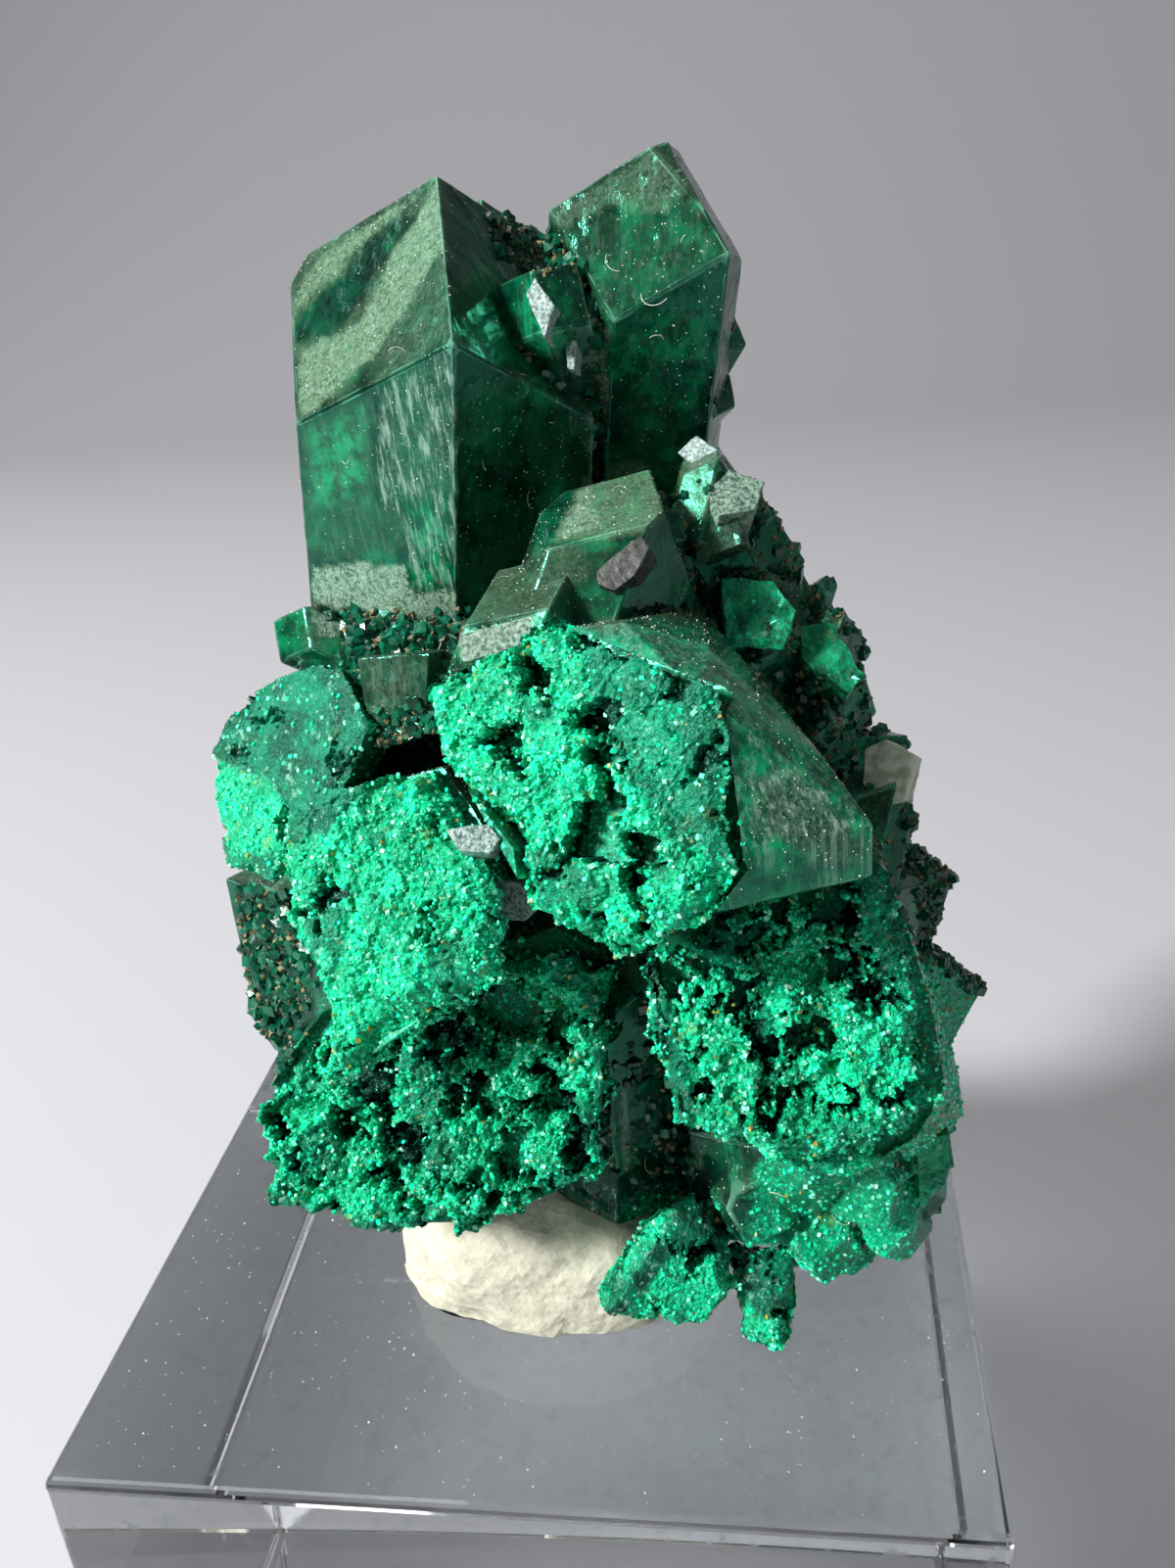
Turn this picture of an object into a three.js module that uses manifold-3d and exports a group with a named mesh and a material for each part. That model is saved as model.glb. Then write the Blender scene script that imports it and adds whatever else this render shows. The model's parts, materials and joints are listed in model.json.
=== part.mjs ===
// Dioptase: a cluster of emerald-green crystals stuck with putty on a clear display block.
// Millimetres, +Z up. The origin is the centre of the block's underside.
import * as THREE from 'three';
import { ConvexGeometry } from 'three/addons/geometries/ConvexGeometry.js';
import { mergeVertices } from 'three/addons/utils/BufferGeometryUtils.js';
import Module from 'manifold-3d';

// Driving dimensions
const blockWidth = 38.1;
const blockHeight = 25.4;
const blockChamfer = 0.5;
const puttyWidth = 15.4;
const puttyDepth = 13.6;
const puttyHeight = 6.2;
const puttyCentre = new THREE.Vector3(0.6, -3.2, 1.2);
const puttyBulge = 2.6;
const puttySegments = 24;
const puttyRings = 12;
const contactGap = 0.3;

// Dioptase law: a six-sided prism ended by three faces whose normals stand 51 degrees off the long axis
const endFaceTilt = 51;
const prismFaces = 6;
const endFaces = 3;

const wasm = await Module();
wasm.setup();

const degrees = THREE.MathUtils.degToRad;

// A fixed-seed random stream, so that every build gives the same specimen
function randomStream(seed) {
  let state = seed;
  return (low, high) => {
    state = (state + 0x6d2b79f5) | 0;
    let mixed = Math.imul(state ^ (state >>> 15), 1 | state);
    mixed = (mixed + Math.imul(mixed ^ (mixed >>> 7), 61 | mixed)) ^ mixed;
    const unit = ((mixed ^ (mixed >>> 14)) >>> 0) / 4294967296;
    return low + (high - low) * unit;
  };
}

function solidFrom(geometry) {
  const bare = geometry.clone();
  bare.deleteAttribute('normal');
  bare.deleteAttribute('uv');
  const merged = mergeVertices(bare, 1e-4);
  return new wasm.Manifold(new wasm.Mesh({
    numProp: 3,
    vertProperties: new Float32Array(merged.attributes.position.array),
    triVerts: new Uint32Array(merged.index.array),
  }));
}

function joined(solids) {
  return solids.reduce((whole, next) => whole.add(next));
}

function point([x, y, z]) {
  return new THREE.Vector3(x, y, z);
}

// A flat-faced lump from its corners
function block(corners) {
  return solidFrom(new ConvexGeometry(corners.map(point)));
}

// Where three planes meet, each plane being a unit normal and a distance
function meeting(a, b, c) {
  const bc = new THREE.Vector3().crossVectors(b.normal, c.normal);
  const ca = new THREE.Vector3().crossVectors(c.normal, a.normal);
  const ab = new THREE.Vector3().crossVectors(a.normal, b.normal);
  const spread = a.normal.dot(bc);
  if (Math.abs(spread) < 1e-6) {
    return null;
  }
  return bc.multiplyScalar(a.distance)
    .addScaledVector(ca, b.distance)
    .addScaledVector(ab, c.distance)
    .divideScalar(spread);
}

// A direction given by its turn about the long axis and its tilt away from it, both in degrees
function direction(turn, tilt) {
  const outward = Math.sin(degrees(tilt));
  const heading = degrees(turn);
  return new THREE.Vector3(outward * Math.cos(heading), outward * Math.sin(heading), Math.cos(degrees(tilt)));
}

// The corners of one crystal with its tip at the origin and its long axis along +Z.
// The sides are the distances of the prism faces from the axis, and bevels are small extra faces.
function crystalCorners(sides, length, bevels) {
  const planes = [{ normal: direction(0, 180), distance: length }];
  for (let k = 0; k < prismFaces; k += 1) {
    planes.push({ normal: direction(60 * k, 90), distance: sides[k % sides.length] });
  }
  for (let k = 0; k < endFaces; k += 1) {
    planes.push({ normal: direction(30 + 120 * k, endFaceTilt), distance: 0 });
  }
  for (const { turn, tilt, distance } of bevels) {
    planes.push({ normal: direction(turn, tilt), distance });
  }
  const corners = [];
  const slack = 1e-6;
  for (let i = 0; i < planes.length; i += 1) {
    for (let j = i + 1; j < planes.length; j += 1) {
      for (let k = j + 1; k < planes.length; k += 1) {
        const corner = meeting(planes[i], planes[j], planes[k]);
        const inside = corner && planes.every((plane) => plane.normal.dot(corner) < plane.distance + slack);
        const isNew = inside && corners.every((other) => other.distanceTo(corner) > 1e-4);
        if (isNew) {
          corners.push(corner);
        }
      }
    }
  }
  return corners;
}

// The turn that leans a crystal's long axis from upright towards a heading, after a spin about that axis
function attitude(lean, toward, spin) {
  const heading = degrees(toward);
  const hinge = new THREE.Vector3(-Math.sin(heading), Math.cos(heading), 0);
  const tipping = new THREE.Quaternion().setFromAxisAngle(hinge, degrees(lean));
  const spinning = new THREE.Quaternion().setFromAxisAngle(new THREE.Vector3(0, 0, 1), degrees(spin));
  return tipping.multiply(spinning);
}

// The corners of a crystal where it stands: width is across the flats, and sides may give each face its own
function cornersOf({ tip, lean, toward, spin = 0, width, sides = [width / 2], length, bevels = [] }) {
  const place = attitude(lean, toward, spin);
  return crystalCorners(sides, length, bevels).map((corner) => corner.applyQuaternion(place).add(point(tip)));
}

function crystal(shape) {
  return solidFrom(new ConvexGeometry(cornersOf(shape)));
}

// The two tall clear spires and what stands between them
const spires = [
  {
    tip: [-1.3, 0.5, 46.6], lean: 13, toward: -51.7, spin: 196.1, width: 11.5, length: 27,
    bevels: [{ turn: -30, tilt: 70, distance: 4.2 }],
  },
  { tip: [-0.6, 5.0, 45.6], lean: 13, toward: -51.7, spin: 196.1, width: 6, length: 20 },
  {
    tip: [7.1, 1.0, 47.2], lean: 24.7, toward: -68.6, spin: 223.7, length: 25,
    sides: [3.6, 3.6, 3.6, 1.6, 1.6, 3.6],
    bevels: [{ turn: 90, tilt: 25, distance: -0.35 }],
  },
  { tip: [1.9, 0.5, 42.4], lean: 15, toward: -120, spin: 80, width: 3.4, length: 9 },
  { tip: [1.0, 8.5, 44.2], lean: 6, toward: 60, spin: 20, width: 5.5, length: 18 },
  { tip: [9.4, 3.4, 40.8], lean: 35, toward: -20, spin: 10, width: 2.0, length: 4 },
  { tip: [9.2, 3.4, 38.4], lean: 50, toward: 0, spin: 40, width: 2.0, length: 4 },
];

// Short crystals on the shoulder below the spires
const shoulder = [
  { tip: [6.3, -3.0, 36.1], lean: 32, toward: 50, spin: 205.5, sides: [3.2, 2.9, 2.4], length: 8 },
  { tip: [3.9, -6.0, 33.9], lean: 28.4, toward: 28.4, spin: 59.6, sides: [2.8, 2.8, 2.7], length: 7 },
  { tip: [7.6, -4.4, 34.8], lean: 55, toward: 10, spin: 20, sides: [0.8, 0.9, 0.8], length: 4.4 },
  { tip: [-9.7, -2.0, 30.4], lean: 60, toward: 190, spin: 15, width: 2.6, length: 5 },
  { tip: [-8.6, -3.0, 28.9], lean: 70, toward: 215, spin: 50, width: 2.6, length: 5 },
];

// The chain of small crystals down the right-hand slope
const rightSlope = [
  { tip: [8.8, -1.6, 36.6], lean: 30, toward: 60, spin: 70, width: 2.2, length: 4 },
  { tip: [10.0, -0.8, 35.2], lean: 30, toward: 0, spin: 30, width: 2.8, length: 5 },
  { tip: [9.2, -2.6, 33.9], lean: 40, toward: -60, spin: 0, width: 3.0, length: 6 },
  { tip: [10.9, -0.8, 33.6], lean: 25, toward: -10, spin: 20, width: 3.2, length: 6 },
  { tip: [10.6, -3.0, 31.9], lean: 20, toward: -60, spin: 65, width: 3.6, length: 6 },
  { tip: [12.9, -1.0, 31.2], lean: 15, toward: 0, spin: 20, width: 0.9, length: 3 },
  { tip: [13.6, -1.8, 29.9], lean: 35, toward: -20, spin: 60, width: 3.8, length: 6 },
  { tip: [13.0, -4.0, 26.2], lean: 60, toward: -70, spin: 20, width: 1.6, length: 4 },
  { tip: [15.3, -2.6, 23.9], lean: 30, toward: 60, spin: 70, width: 2.6, length: 5 },
];

// Broad crystals that make up the slope itself, behind the small ones
const slopeBodies = [
  { tip: [10.6, 1.5, 33.6], lean: 32, toward: 15, spin: 10, width: 7, length: 14 },
  { tip: [13.8, 1.0, 28.6], lean: 42, toward: -5, spin: 40, width: 7, length: 13 },
  { tip: [16.4, 1.5, 23.2], lean: 55, toward: 0, spin: 10, width: 7, length: 14 },
  { tip: [18.5, 1.0, 16.6], lean: 72, toward: 0, spin: 30, width: 7, length: 15 },
  { tip: [20.0, 0.6, 11.0], lean: 85, toward: -4, spin: 0, width: 6, length: 15 },
  { tip: [18.8, -2.0, 7.5], lean: 100, toward: -12, spin: 25, width: 6, length: 13 },
];

// The etched crystals of the front, by their corners: the worn front face first, then the back
const central = [
  [-1.1, -10.5, 30.4], [-0.6, -11.5, 28.7], [2.4, -13.8, 26.3], [2.5, -14.7, 24.5], [5.2, -16.1, 23.7],
  [7.8, -16.5, 24.7], [9.2, -16.1, 26.5], [8.6, -13.6, 31.1], [4.4, -11.6, 32.1], [3.0, -10.9, 32.5],
  [5.9, -10.7, 32.7], [8.6, -10.3, 31.6], [9.9, -11.2, 30.2], [12.3, -12.2, 28.4], [13.9, -13.6, 26.5],
  [13.9, -13.6, 24.6], [12.0, -6.0, 24.0], [0.5, -4.0, 30.0], [8.0, -4.0, 31.0], [4.0, -6.0, 22.5],
];
const rightEtched = [
  [5.7, -12.7, 20.3], [8.2, -11.6, 21.9], [10.9, -10.7, 23.1], [12.1, -10.4, 23.4], [14.4, -10.3, 22.9],
  [14.8, -10.5, 22.5], [15.8, -11.8, 19.4], [16.4, -13.3, 15.9], [15.3, -14.2, 14.4], [12.4, -15.2, 13.1],
  [10.5, -15.3, 13.4], [6.8, -14.9, 15.2], [5.9, -13.5, 18.6], [15.8, -8.0, 18.7], [17.9, -7.0, 12.0],
  [18.2, -7.0, 9.8], [17.0, -8.0, 8.6], [8.0, -5.0, 12.0], [9.0, -4.0, 21.0], [14.5, -4.0, 21.5],
];
const lowerLeftEtched = [
  [-9.7, -12.6, 13.4], [-8.5, -12.1, 15.0], [-6.8, -11.6, 17.0], [0.1, -11.3, 19.7], [2.4, -11.2, 20.7],
  [4.4, -11.7, 19.8], [4.2, -14.5, 12.4], [2.1, -14.7, 11.1], [-0.7, -14.9, 9.8], [-4.3, -14.7, 9.3],
  [-6.7, -14.3, 9.7], [-9.7, -13.8, 10.2], [-9.5, -5.0, 9.0], [-8.5, -4.0, 17.0], [1.5, -5.0, 8.0],
  [2.5, -4.0, 19.0], [-4.5, -6.0, 6.2],
];
const upperLeftEtched = [
  [-7.6, -10.6, 25.3], [-6.8, -10.4, 25.9], [-1.7, -11.0, 27.4], [-0.1, -12.5, 25.9], [1.2, -14.0, 24.4],
  [0.8, -15.6, 21.9], [-2.7, -15.6, 20.2], [-4.4, -16.4, 18.3], [-5.8, -14.2, 20.9], [-7.0, -12.5, 22.7],
  [-6.5, -6.0, 24.5], [0.0, -6.0, 26.0], [-5.0, -7.0, 17.5], [0.5, -7.0, 19.5],
];
const farLeftEtched = [
  [-12.0, -6.5, 25.1], [-11.7, -6.0, 26.2], [-10.0, -5.6, 28.3], [-7.5, -6.3, 29.6], [-5.6, -7.2, 29.9],
  [-4.3, -8.9, 28.5], [-5.0, -9.6, 26.8], [-7.2, -9.9, 24.2], [-8.6, -9.9, 22.9], [-10.8, -8.7, 22.8],
  [-11.1, -7.9, 23.7], [-11.0, -3.0, 24.0], [-8.0, -2.0, 28.0], [-5.0, -4.0, 28.5], [-8.5, -4.0, 22.0],
];
const farLeftLobe = [
  [-10.0, -9.0, 22.4], [-9.1, -9.0, 23.5], [-7.2, -9.8, 23.6], [-6.9, -10.6, 22.6], [-8.6, -10.2, 21.7],
  [-9.0, -4.0, 22.5], [-7.0, -4.0, 21.5],
];
const darkColumn = [
  [-5.4, -6.0, 31.3], [-4.0, -4.4, 31.8], [-1.0, -6.0, 30.8], [-3.8, -9.0, 27.6], [-1.3, -9.0, 28.3],
  [-0.6, -7.6, 29.6], [-4.5, -2.0, 27.0], [-1.0, -2.0, 27.0],
];
const leafTip = [
  [3.6, -13.0, 4.5], [5.5, -12.0, 7.2], [7.2, -11.0, 7.9], [8.8, -11.5, 4.1], [7.6, -12.0, 2.8],
  [5.4, -13.0, 3.4], [8.0, -8.0, 6.5], [9.0, -8.0, 4.8], [6.0, -10.0, 6.0],
];
const hangingTip = [
  [8.7, -10.0, 4.8], [10.8, -10.0, 4.6], [11.0, -11.5, 3.0], [10.5, -12.5, 1.9], [9.2, -12.0, 2.3],
  [8.9, -8.0, 6.0], [11.0, -8.0, 6.0],
];
const lowerRightBody = [
  [7.1, -10.0, 11.0], [6.8, -9.0, 5.8], [9.0, -9.6, 4.2], [12.0, -9.0, 3.6], [16.6, -7.0, 3.4],
  [17.7, -7.0, 5.2], [17.7, -7.0, 9.0], [12.0, -13.5, 12.5], [8.0, -2.0, 5.2], [15.0, -1.0, 5.2],
  [8.0, -2.0, 12.0],
];
// How many of a block's first corners bound its worn face, and the lumps that the wear left on it
const etched = [
  { corners: central, faceCorners: 10, lumps: 15, turn: 35, size: 2.2 },
  { corners: rightEtched, faceCorners: 13, lumps: 20, turn: 55, size: 2.2 },
  { corners: lowerLeftEtched, faceCorners: 12, lumps: 22, turn: 10, size: 2.2 },
  { corners: upperLeftEtched, faceCorners: 10, lumps: 18, turn: 20, size: 2.4 },
  { corners: farLeftEtched, faceCorners: 11, lumps: 8, turn: 40, size: 2.0 },
];
const plainBlocks = [farLeftLobe, darkColumn, leafTip, hangingTip, lowerRightBody];

// Holes that the etching left: where each opens, its width and height on the face, and its depth
const pits = [
  { at: [4.9, -12.8, 30.0], across: 1.4, up: 0.7, depth: 1.4 },
  { at: [5.3, -14.1, 27.7], across: 0.8, up: 1.9, depth: 2.0 },
  { at: [6.2, -15.0, 26.6], across: 1.5, up: 0.7, depth: 1.6 },
  { at: [3.3, -14.5, 25.5], across: 1.0, up: 0.8, depth: 1.2 },
  { at: [8.9, -14.3, 29.8], across: 1.3, up: 0.6, depth: 1.2 },
  { at: [10.3, -13.3, 17.6], across: 0.9, up: 1.8, depth: 2.0 },
  { at: [11.5, -12.9, 18.1], across: 1.8, up: 0.8, depth: 2.0 },
  { at: [13.0, -11.8, 20.1], across: 1.0, up: 1.2, depth: 1.6 },
  { at: [9.6, -11.8, 21.1], across: 1.6, up: 1.1, depth: 1.6 },
  { at: [13.3, -13.9, 15.5], across: 1.0, up: 0.8, depth: 1.2 },
  { at: [0.6, -12.0, 18.0], across: 2.4, up: 2.0, depth: 3.0 },
  { at: [-1.8, -12.2, 16.8], across: 2.2, up: 1.6, depth: 3.0 },
  { at: [-4.8, -12.3, 15.5], across: 2.0, up: 1.0, depth: 2.2 },
  { at: [-0.9, -12.9, 15.2], across: 1.4, up: 0.9, depth: 2.2 },
  { at: [2.0, -13.3, 14.8], across: 2.2, up: 0.8, depth: 2.0 },
  { at: [-6.1, -13.0, 13.4], across: 1.2, up: 1.2, depth: 1.8 },
  { at: [-2.9, -13.4, 13.3], across: 1.5, up: 0.8, depth: 1.8 },
  { at: [2.5, -12.4, 17.2], across: 0.8, up: 1.4, depth: 1.6 },
  { at: [0.6, -14.0, 12.5], across: 1.3, up: 0.9, depth: 1.6 },
  { at: [-8.2, -13.4, 11.7], across: 1.1, up: 0.8, depth: 1.4 },
  { at: [-1.4, -14.2, 11.6], across: 1.6, up: 0.7, depth: 1.6 },
  { at: [3.1, -13.9, 13.5], across: 0.7, up: 1.5, depth: 1.4 },
];

// Clear crystals low on the front: the near-black prism over the putty and the points at the lower right
const lowFront = [
  { tip: [4.2, -4.6, 23.0], lean: 1, toward: 0, spin: 0, width: 9.4, length: 17 },
  { tip: [17.6, -6.4, 3.9], lean: 112, toward: -28, spin: 20, width: 4.4, length: 9 },
  { tip: [18.2, -5.6, 7.8], lean: 92, toward: -20, spin: 50, width: 4.2, length: 8 },
  { tip: [13.7, -8.6, 2.2], lean: 150, toward: -60, spin: 0, width: 2.6, length: 6 },
  { tip: [11.4, -8.4, 2.4], lean: 160, toward: -80, spin: 30, width: 1.8, length: 5 },
];

// The massive middle of the specimen, hidden behind the crystals
const heart = [
  [
    [-6.0, -8.0, 6.4], [-5.0, 4.0, 5.2], [7.0, 5.0, 5.2], [12.0, -6.0, 5.6], [13.0, 4.0, 7.0],
    [-9.5, -4.0, 14.0], [-8.5, 6.0, 14.0], [15.0, -4.0, 14.0], [15.0, 7.0, 14.0], [4.0, -9.0, 16.0],
    [-8.0, -4.0, 23.0], [-7.0, 6.5, 24.0], [12.5, -3.0, 23.0], [12.0, 7.5, 24.0],
  ],
  [
    [-8.0, -4.0, 22.0], [-7.0, 6.5, 22.0], [12.5, -3.0, 22.0], [12.0, 7.5, 22.0],
    [-4.5, -4.0, 30.0], [-4.5, 7.0, 31.0], [8.5, -2.0, 32.0], [8.5, 7.5, 32.0], [2.5, -6.0, 29.0],
  ],
];

// Crystals that close the back and sides of the specimen
const back = [
  { tip: [-5.4, 11.6, 36.6], lean: 34, toward: 112, spin: 20, width: 5.8, length: 15 },
  { tip: [1.8, 13.2, 35.4], lean: 46, toward: 88, spin: 0, width: 6.6, length: 15 },
  { tip: [8.6, 11.2, 33.0], lean: 46, toward: 60, spin: 40, width: 5.4, length: 13 },
  { tip: [-9.6, 8.8, 28.0], lean: 62, toward: 138, spin: 15, width: 5.6, length: 13 },
  { tip: [-3.2, 14.0, 26.8], lean: 74, toward: 102, spin: 30, width: 6.8, length: 15 },
  { tip: [4.6, 14.4, 24.6], lean: 84, toward: 84, spin: 10, width: 6.2, length: 15 },
  { tip: [11.4, 12.2, 25.0], lean: 72, toward: 52, spin: 50, width: 5.6, length: 14 },
  { tip: [15.2, 8.6, 19.4], lean: 88, toward: 36, spin: 25, width: 5.6, length: 13 },
  { tip: [-11.0, 3.6, 20.4], lean: 84, toward: 168, spin: 20, width: 5.2, length: 11 },
  { tip: [-10.2, 8.6, 17.0], lean: 94, toward: 142, spin: 45, width: 5.6, length: 13 },
  { tip: [-4.8, 13.0, 15.8], lean: 96, toward: 112, spin: 0, width: 6.4, length: 14 },
  { tip: [3.4, 13.8, 14.4], lean: 100, toward: 88, spin: 40, width: 7.0, length: 14 },
  { tip: [11.0, 12.0, 13.4], lean: 98, toward: 62, spin: 5, width: 6.0, length: 14 },
  { tip: [16.8, 5.4, 11.6], lean: 96, toward: 22, spin: 35, width: 5.6, length: 12 },
  { tip: [-9.6, 3.0, 10.6], lean: 108, toward: 165, spin: 10, width: 5.2, length: 10 },
  { tip: [-4.6, 9.4, 7.4], lean: 118, toward: 125, spin: 30, width: 5.6, length: 12 },
  { tip: [5.6, 10.4, 6.6], lean: 122, toward: 80, spin: 15, width: 5.8, length: 12 },
  { tip: [13.4, 6.4, 6.2], lean: 118, toward: 40, spin: 50, width: 5.0, length: 11 },
];

// Small rough crystals grown in patches: a middle, how far they spread, which way they point, how many
const drusePatches = [
  { middle: [-3.6, -5.6, 30.6], spread: [2.0, 1.2, 0.5], facing: [-0.2, -0.5, 0.85], count: 9, size: 1.3 },
  { middle: [1.4, 7.0, 43.2], spread: [1.8, 0.8, 0.5], facing: [0.2, 0, 1], count: 7, size: 1.5 },
  { middle: [-10.2, -4.4, 16.0], spread: [0.8, 1.4, 3.4], facing: [-1, -0.5, 0.1], count: 11, size: 2.0 },
  { middle: [15.9, -2.6, 18.2], spread: [1.1, 1.6, 3.2], facing: [0.9, -0.6, 0.3], count: 11, size: 1.9 },
  { middle: [17.0, -3.0, 10.6], spread: [0.8, 2.0, 3.4], facing: [1, -0.4, 0], count: 10, size: 2.0 },
  { middle: [10.4, -3.0, 28.4], spread: [2.4, 1.0, 2.6], facing: [0.5, -0.7, 0.5], count: 10, size: 1.6 },
  { middle: [-1.0, -10.4, 27.2], spread: [2.0, 0.8, 0.9], facing: [0.2, -0.6, 0.7], count: 6, size: 1.4 },
  { middle: [0.0, 8.4, 20.0], spread: [8.0, 1.0, 9.0], facing: [0, 1, 0.1], count: 14, size: 2.8 },
];

function druse({ middle, spread, facing, count, size }, random) {
  const grown = [];
  const outward = point(facing).normalize();
  for (let i = 0; i < count; i += 1) {
    const tip = middle.map((value, axis) => value + random(-1, 1) * spread[axis]);
    const aim = outward.clone();
    aim.x += random(-0.5, 0.5);
    aim.y += random(-0.5, 0.5);
    aim.z += random(-0.3, 0.6);
    aim.normalize();
    const width = size * random(0.6, 1.25);
    grown.push(crystal({
      tip: point(tip).addScaledVector(aim, width * 0.6).toArray(),
      lean: THREE.MathUtils.radToDeg(Math.acos(aim.z)),
      toward: THREE.MathUtils.radToDeg(Math.atan2(aim.y, aim.x)),
      spin: random(0, 120),
      width,
      length: width * random(2.2, 3.0),
    }));
  }
  return grown;
}

// The plane of a block's worn face, with its own sideways and upward directions
function wornFace({ corners, faceCorners }) {
  const rim = corners.slice(0, faceCorners).map(point);
  const middle = rim.reduce((sum, corner) => sum.add(corner), new THREE.Vector3()).divideScalar(rim.length);
  const normal = new THREE.Vector3();
  rim.forEach((corner, i) => {
    const next = rim[(i + 1) % rim.length];
    normal.add(new THREE.Vector3().crossVectors(corner.clone().sub(middle), next.clone().sub(middle)));
  });
  normal.normalize();
  if (normal.y > 0) {
    normal.negate();
  }
  const across = new THREE.Vector3().crossVectors(new THREE.Vector3(0, 0, 1), normal).normalize();
  const up = new THREE.Vector3().crossVectors(normal, across);
  return { rim, middle, normal, across, up };
}

function isInside(outline, x, y) {
  let inside = false;
  outline.forEach((a, i) => {
    const b = outline[(i + 1) % outline.length];
    const crosses = (a.y > y) !== (b.y > y);
    if (crosses && x < ((b.x - a.x) * (y - a.y)) / (b.y - a.y) + a.x) {
      inside = !inside;
    }
  });
  return inside;
}

function boxOf(width, height, depth, frame) {
  return solidFrom(new THREE.BoxGeometry(width, height, depth).applyMatrix4(frame));
}

// Square-edged lumps left standing on a worn face, nearly parallel as the crystal's own layers are
const lumpDepth = 2;
const lumpTilt = 26;
const lumpTurn = 20;
function wornLumps(shape, random) {
  const { rim, middle, normal, across, up } = wornFace(shape);
  const outline = rim.map((corner) => {
    const arm = corner.clone().sub(middle);
    return new THREE.Vector2(arm.dot(across), arm.dot(up));
  });
  const reach = Math.max(...outline.map((corner) => corner.length()));
  const basis = new THREE.Matrix4().makeBasis(across, up, normal);
  const lumps = [];
  while (lumps.length < shape.lumps) {
    const x = random(-reach, reach);
    const y = random(-reach, reach);
    if (isInside(outline, x, y)) {
      const size = shape.size * random(0.5, 1.2);
      const rise = random(-0.1, 0.45);
      const turn = degrees(shape.turn + random(-lumpTurn, lumpTurn));
      const tilts = [0, 1].map(() => degrees(random(-lumpTilt, lumpTilt)));
      const frame = new THREE.Matrix4().makeRotationFromEuler(new THREE.Euler(...tilts, turn));
      const spot = middle.clone().addScaledVector(across, x).addScaledVector(up, y);
      spot.addScaledVector(normal, rise - lumpDepth / 2);
      frame.premultiply(basis).setPosition(spot);
      lumps.push(boxOf(size, size * random(0.6, 1.1), lumpDepth, frame));
    }
  }
  return lumps;
}

// A hole runs straight back into the crystal, and a little downwards
const pitSlope = 12;
function pit({ at, across, up, depth }) {
  const frame = new THREE.Matrix4().makeRotationX(degrees(pitSlope)).setPosition(point(at));
  return boxOf(across, depth * 2, up, frame);
}

const random = randomStream(41);
const clusterSolids = [
  ...[...spires, ...shoulder, ...rightSlope, ...slopeBodies, ...lowFront, ...back].map(crystal),
  ...[...etched.map((shape) => shape.corners), ...plainBlocks, ...heart].map(block),
  ...etched.flatMap((shape) => wornLumps(shape, random)),
  ...drusePatches.flatMap((patch) => druse(patch, random)),
];

// The largest closed body of a solid, without crumbs that a cut may have left loose
function largestBody(solid) {
  return solid.decompose().reduce((best, next) => (next.volume() > best.volume() ? next : best));
}

const cluster = largestBody(joined(clusterSolids).subtract(joined(pits.map(pit))));

// The lump of putty: a ball of it pressed down flat and dented by fingers
function puttyBlob() {
  const geometry = new THREE.SphereGeometry(1, puttySegments, puttyRings);
  const position = geometry.attributes.position;
  const corner = new THREE.Vector3();
  for (let i = 0; i < position.count; i += 1) {
    corner.fromBufferAttribute(position, i);
    const sum = corner.toArray().reduce((total, value) => total + Math.abs(value) ** puttyBulge, 0);
    const turn = Math.atan2(corner.z, corner.x);
    const dent = 1 - (0.04 * Math.sin(3 * turn + 1) + 0.03 * Math.cos(5 * turn + 2)) * (1 - corner.y ** 2);
    corner.multiplyScalar(dent / sum ** (1 / puttyBulge));
    position.setXYZ(i, corner.x, corner.y, corner.z);
  }
  geometry.rotateX(Math.PI / 2);
  geometry.scale(puttyWidth / 2, puttyDepth / 2, puttyHeight);
  geometry.translate(puttyCentre.x, puttyCentre.y, puttyCentre.z);
  return solidFrom(geometry);
}

// The room that a convex shape needs in the putty: the shape itself, thickened by the contact gap
function cleared(corners) {
  const sides = [-contactGap, contactGap];
  const thick = corners.flatMap((corner) => sides.flatMap((x) => sides.flatMap((y) => sides.map((z) => (
    corner.clone().add(new THREE.Vector3(x, y, z))
  )))));
  return solidFrom(new ConvexGeometry(thick));
}

const abovePlace = new THREE.Matrix4().setPosition(0, 0, blockWidth / 2 + contactGap);
const aboveBlock = boxOf(blockWidth, blockWidth, blockWidth, abovePlace);
const pressedIn = [
  ...lowFront.map((shape) => cleared(cornersOf(shape))),
  ...[...etched.map((shape) => shape.corners), ...plainBlocks, ...heart]
    .map((corners) => cleared(corners.map(point))),
];
const putty = largestBody(puttyBlob().intersect(aboveBlock).subtract(joined(pressedIn)));

// The clear display block, with its edges lightly broken
function chamferedBlock() {
  const half = [blockWidth / 2, blockWidth / 2, blockHeight / 2];
  const corners = [];
  for (const x of [-1, 1]) {
    for (const y of [-1, 1]) {
      for (const z of [-1, 1]) {
        for (let kept = 0; kept < 3; kept += 1) {
          const corner = [x, y, z].map((sign, axis) => sign * (half[axis] - (axis === kept ? 0 : blockChamfer)));
          corners.push(new THREE.Vector3(...corner));
        }
      }
    }
  }
  return new ConvexGeometry(corners);
}

function meshOf(solid, name, material) {
  const { vertProperties, triVerts } = solid.getMesh();
  const geometry = new THREE.BufferGeometry();
  geometry.setAttribute('position', new THREE.BufferAttribute(new Float32Array(vertProperties), 3));
  geometry.setIndex(new THREE.BufferAttribute(new Uint32Array(triVerts), 1));
  const mesh = new THREE.Mesh(geometry, material);
  mesh.name = name;
  return mesh;
}

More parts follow.
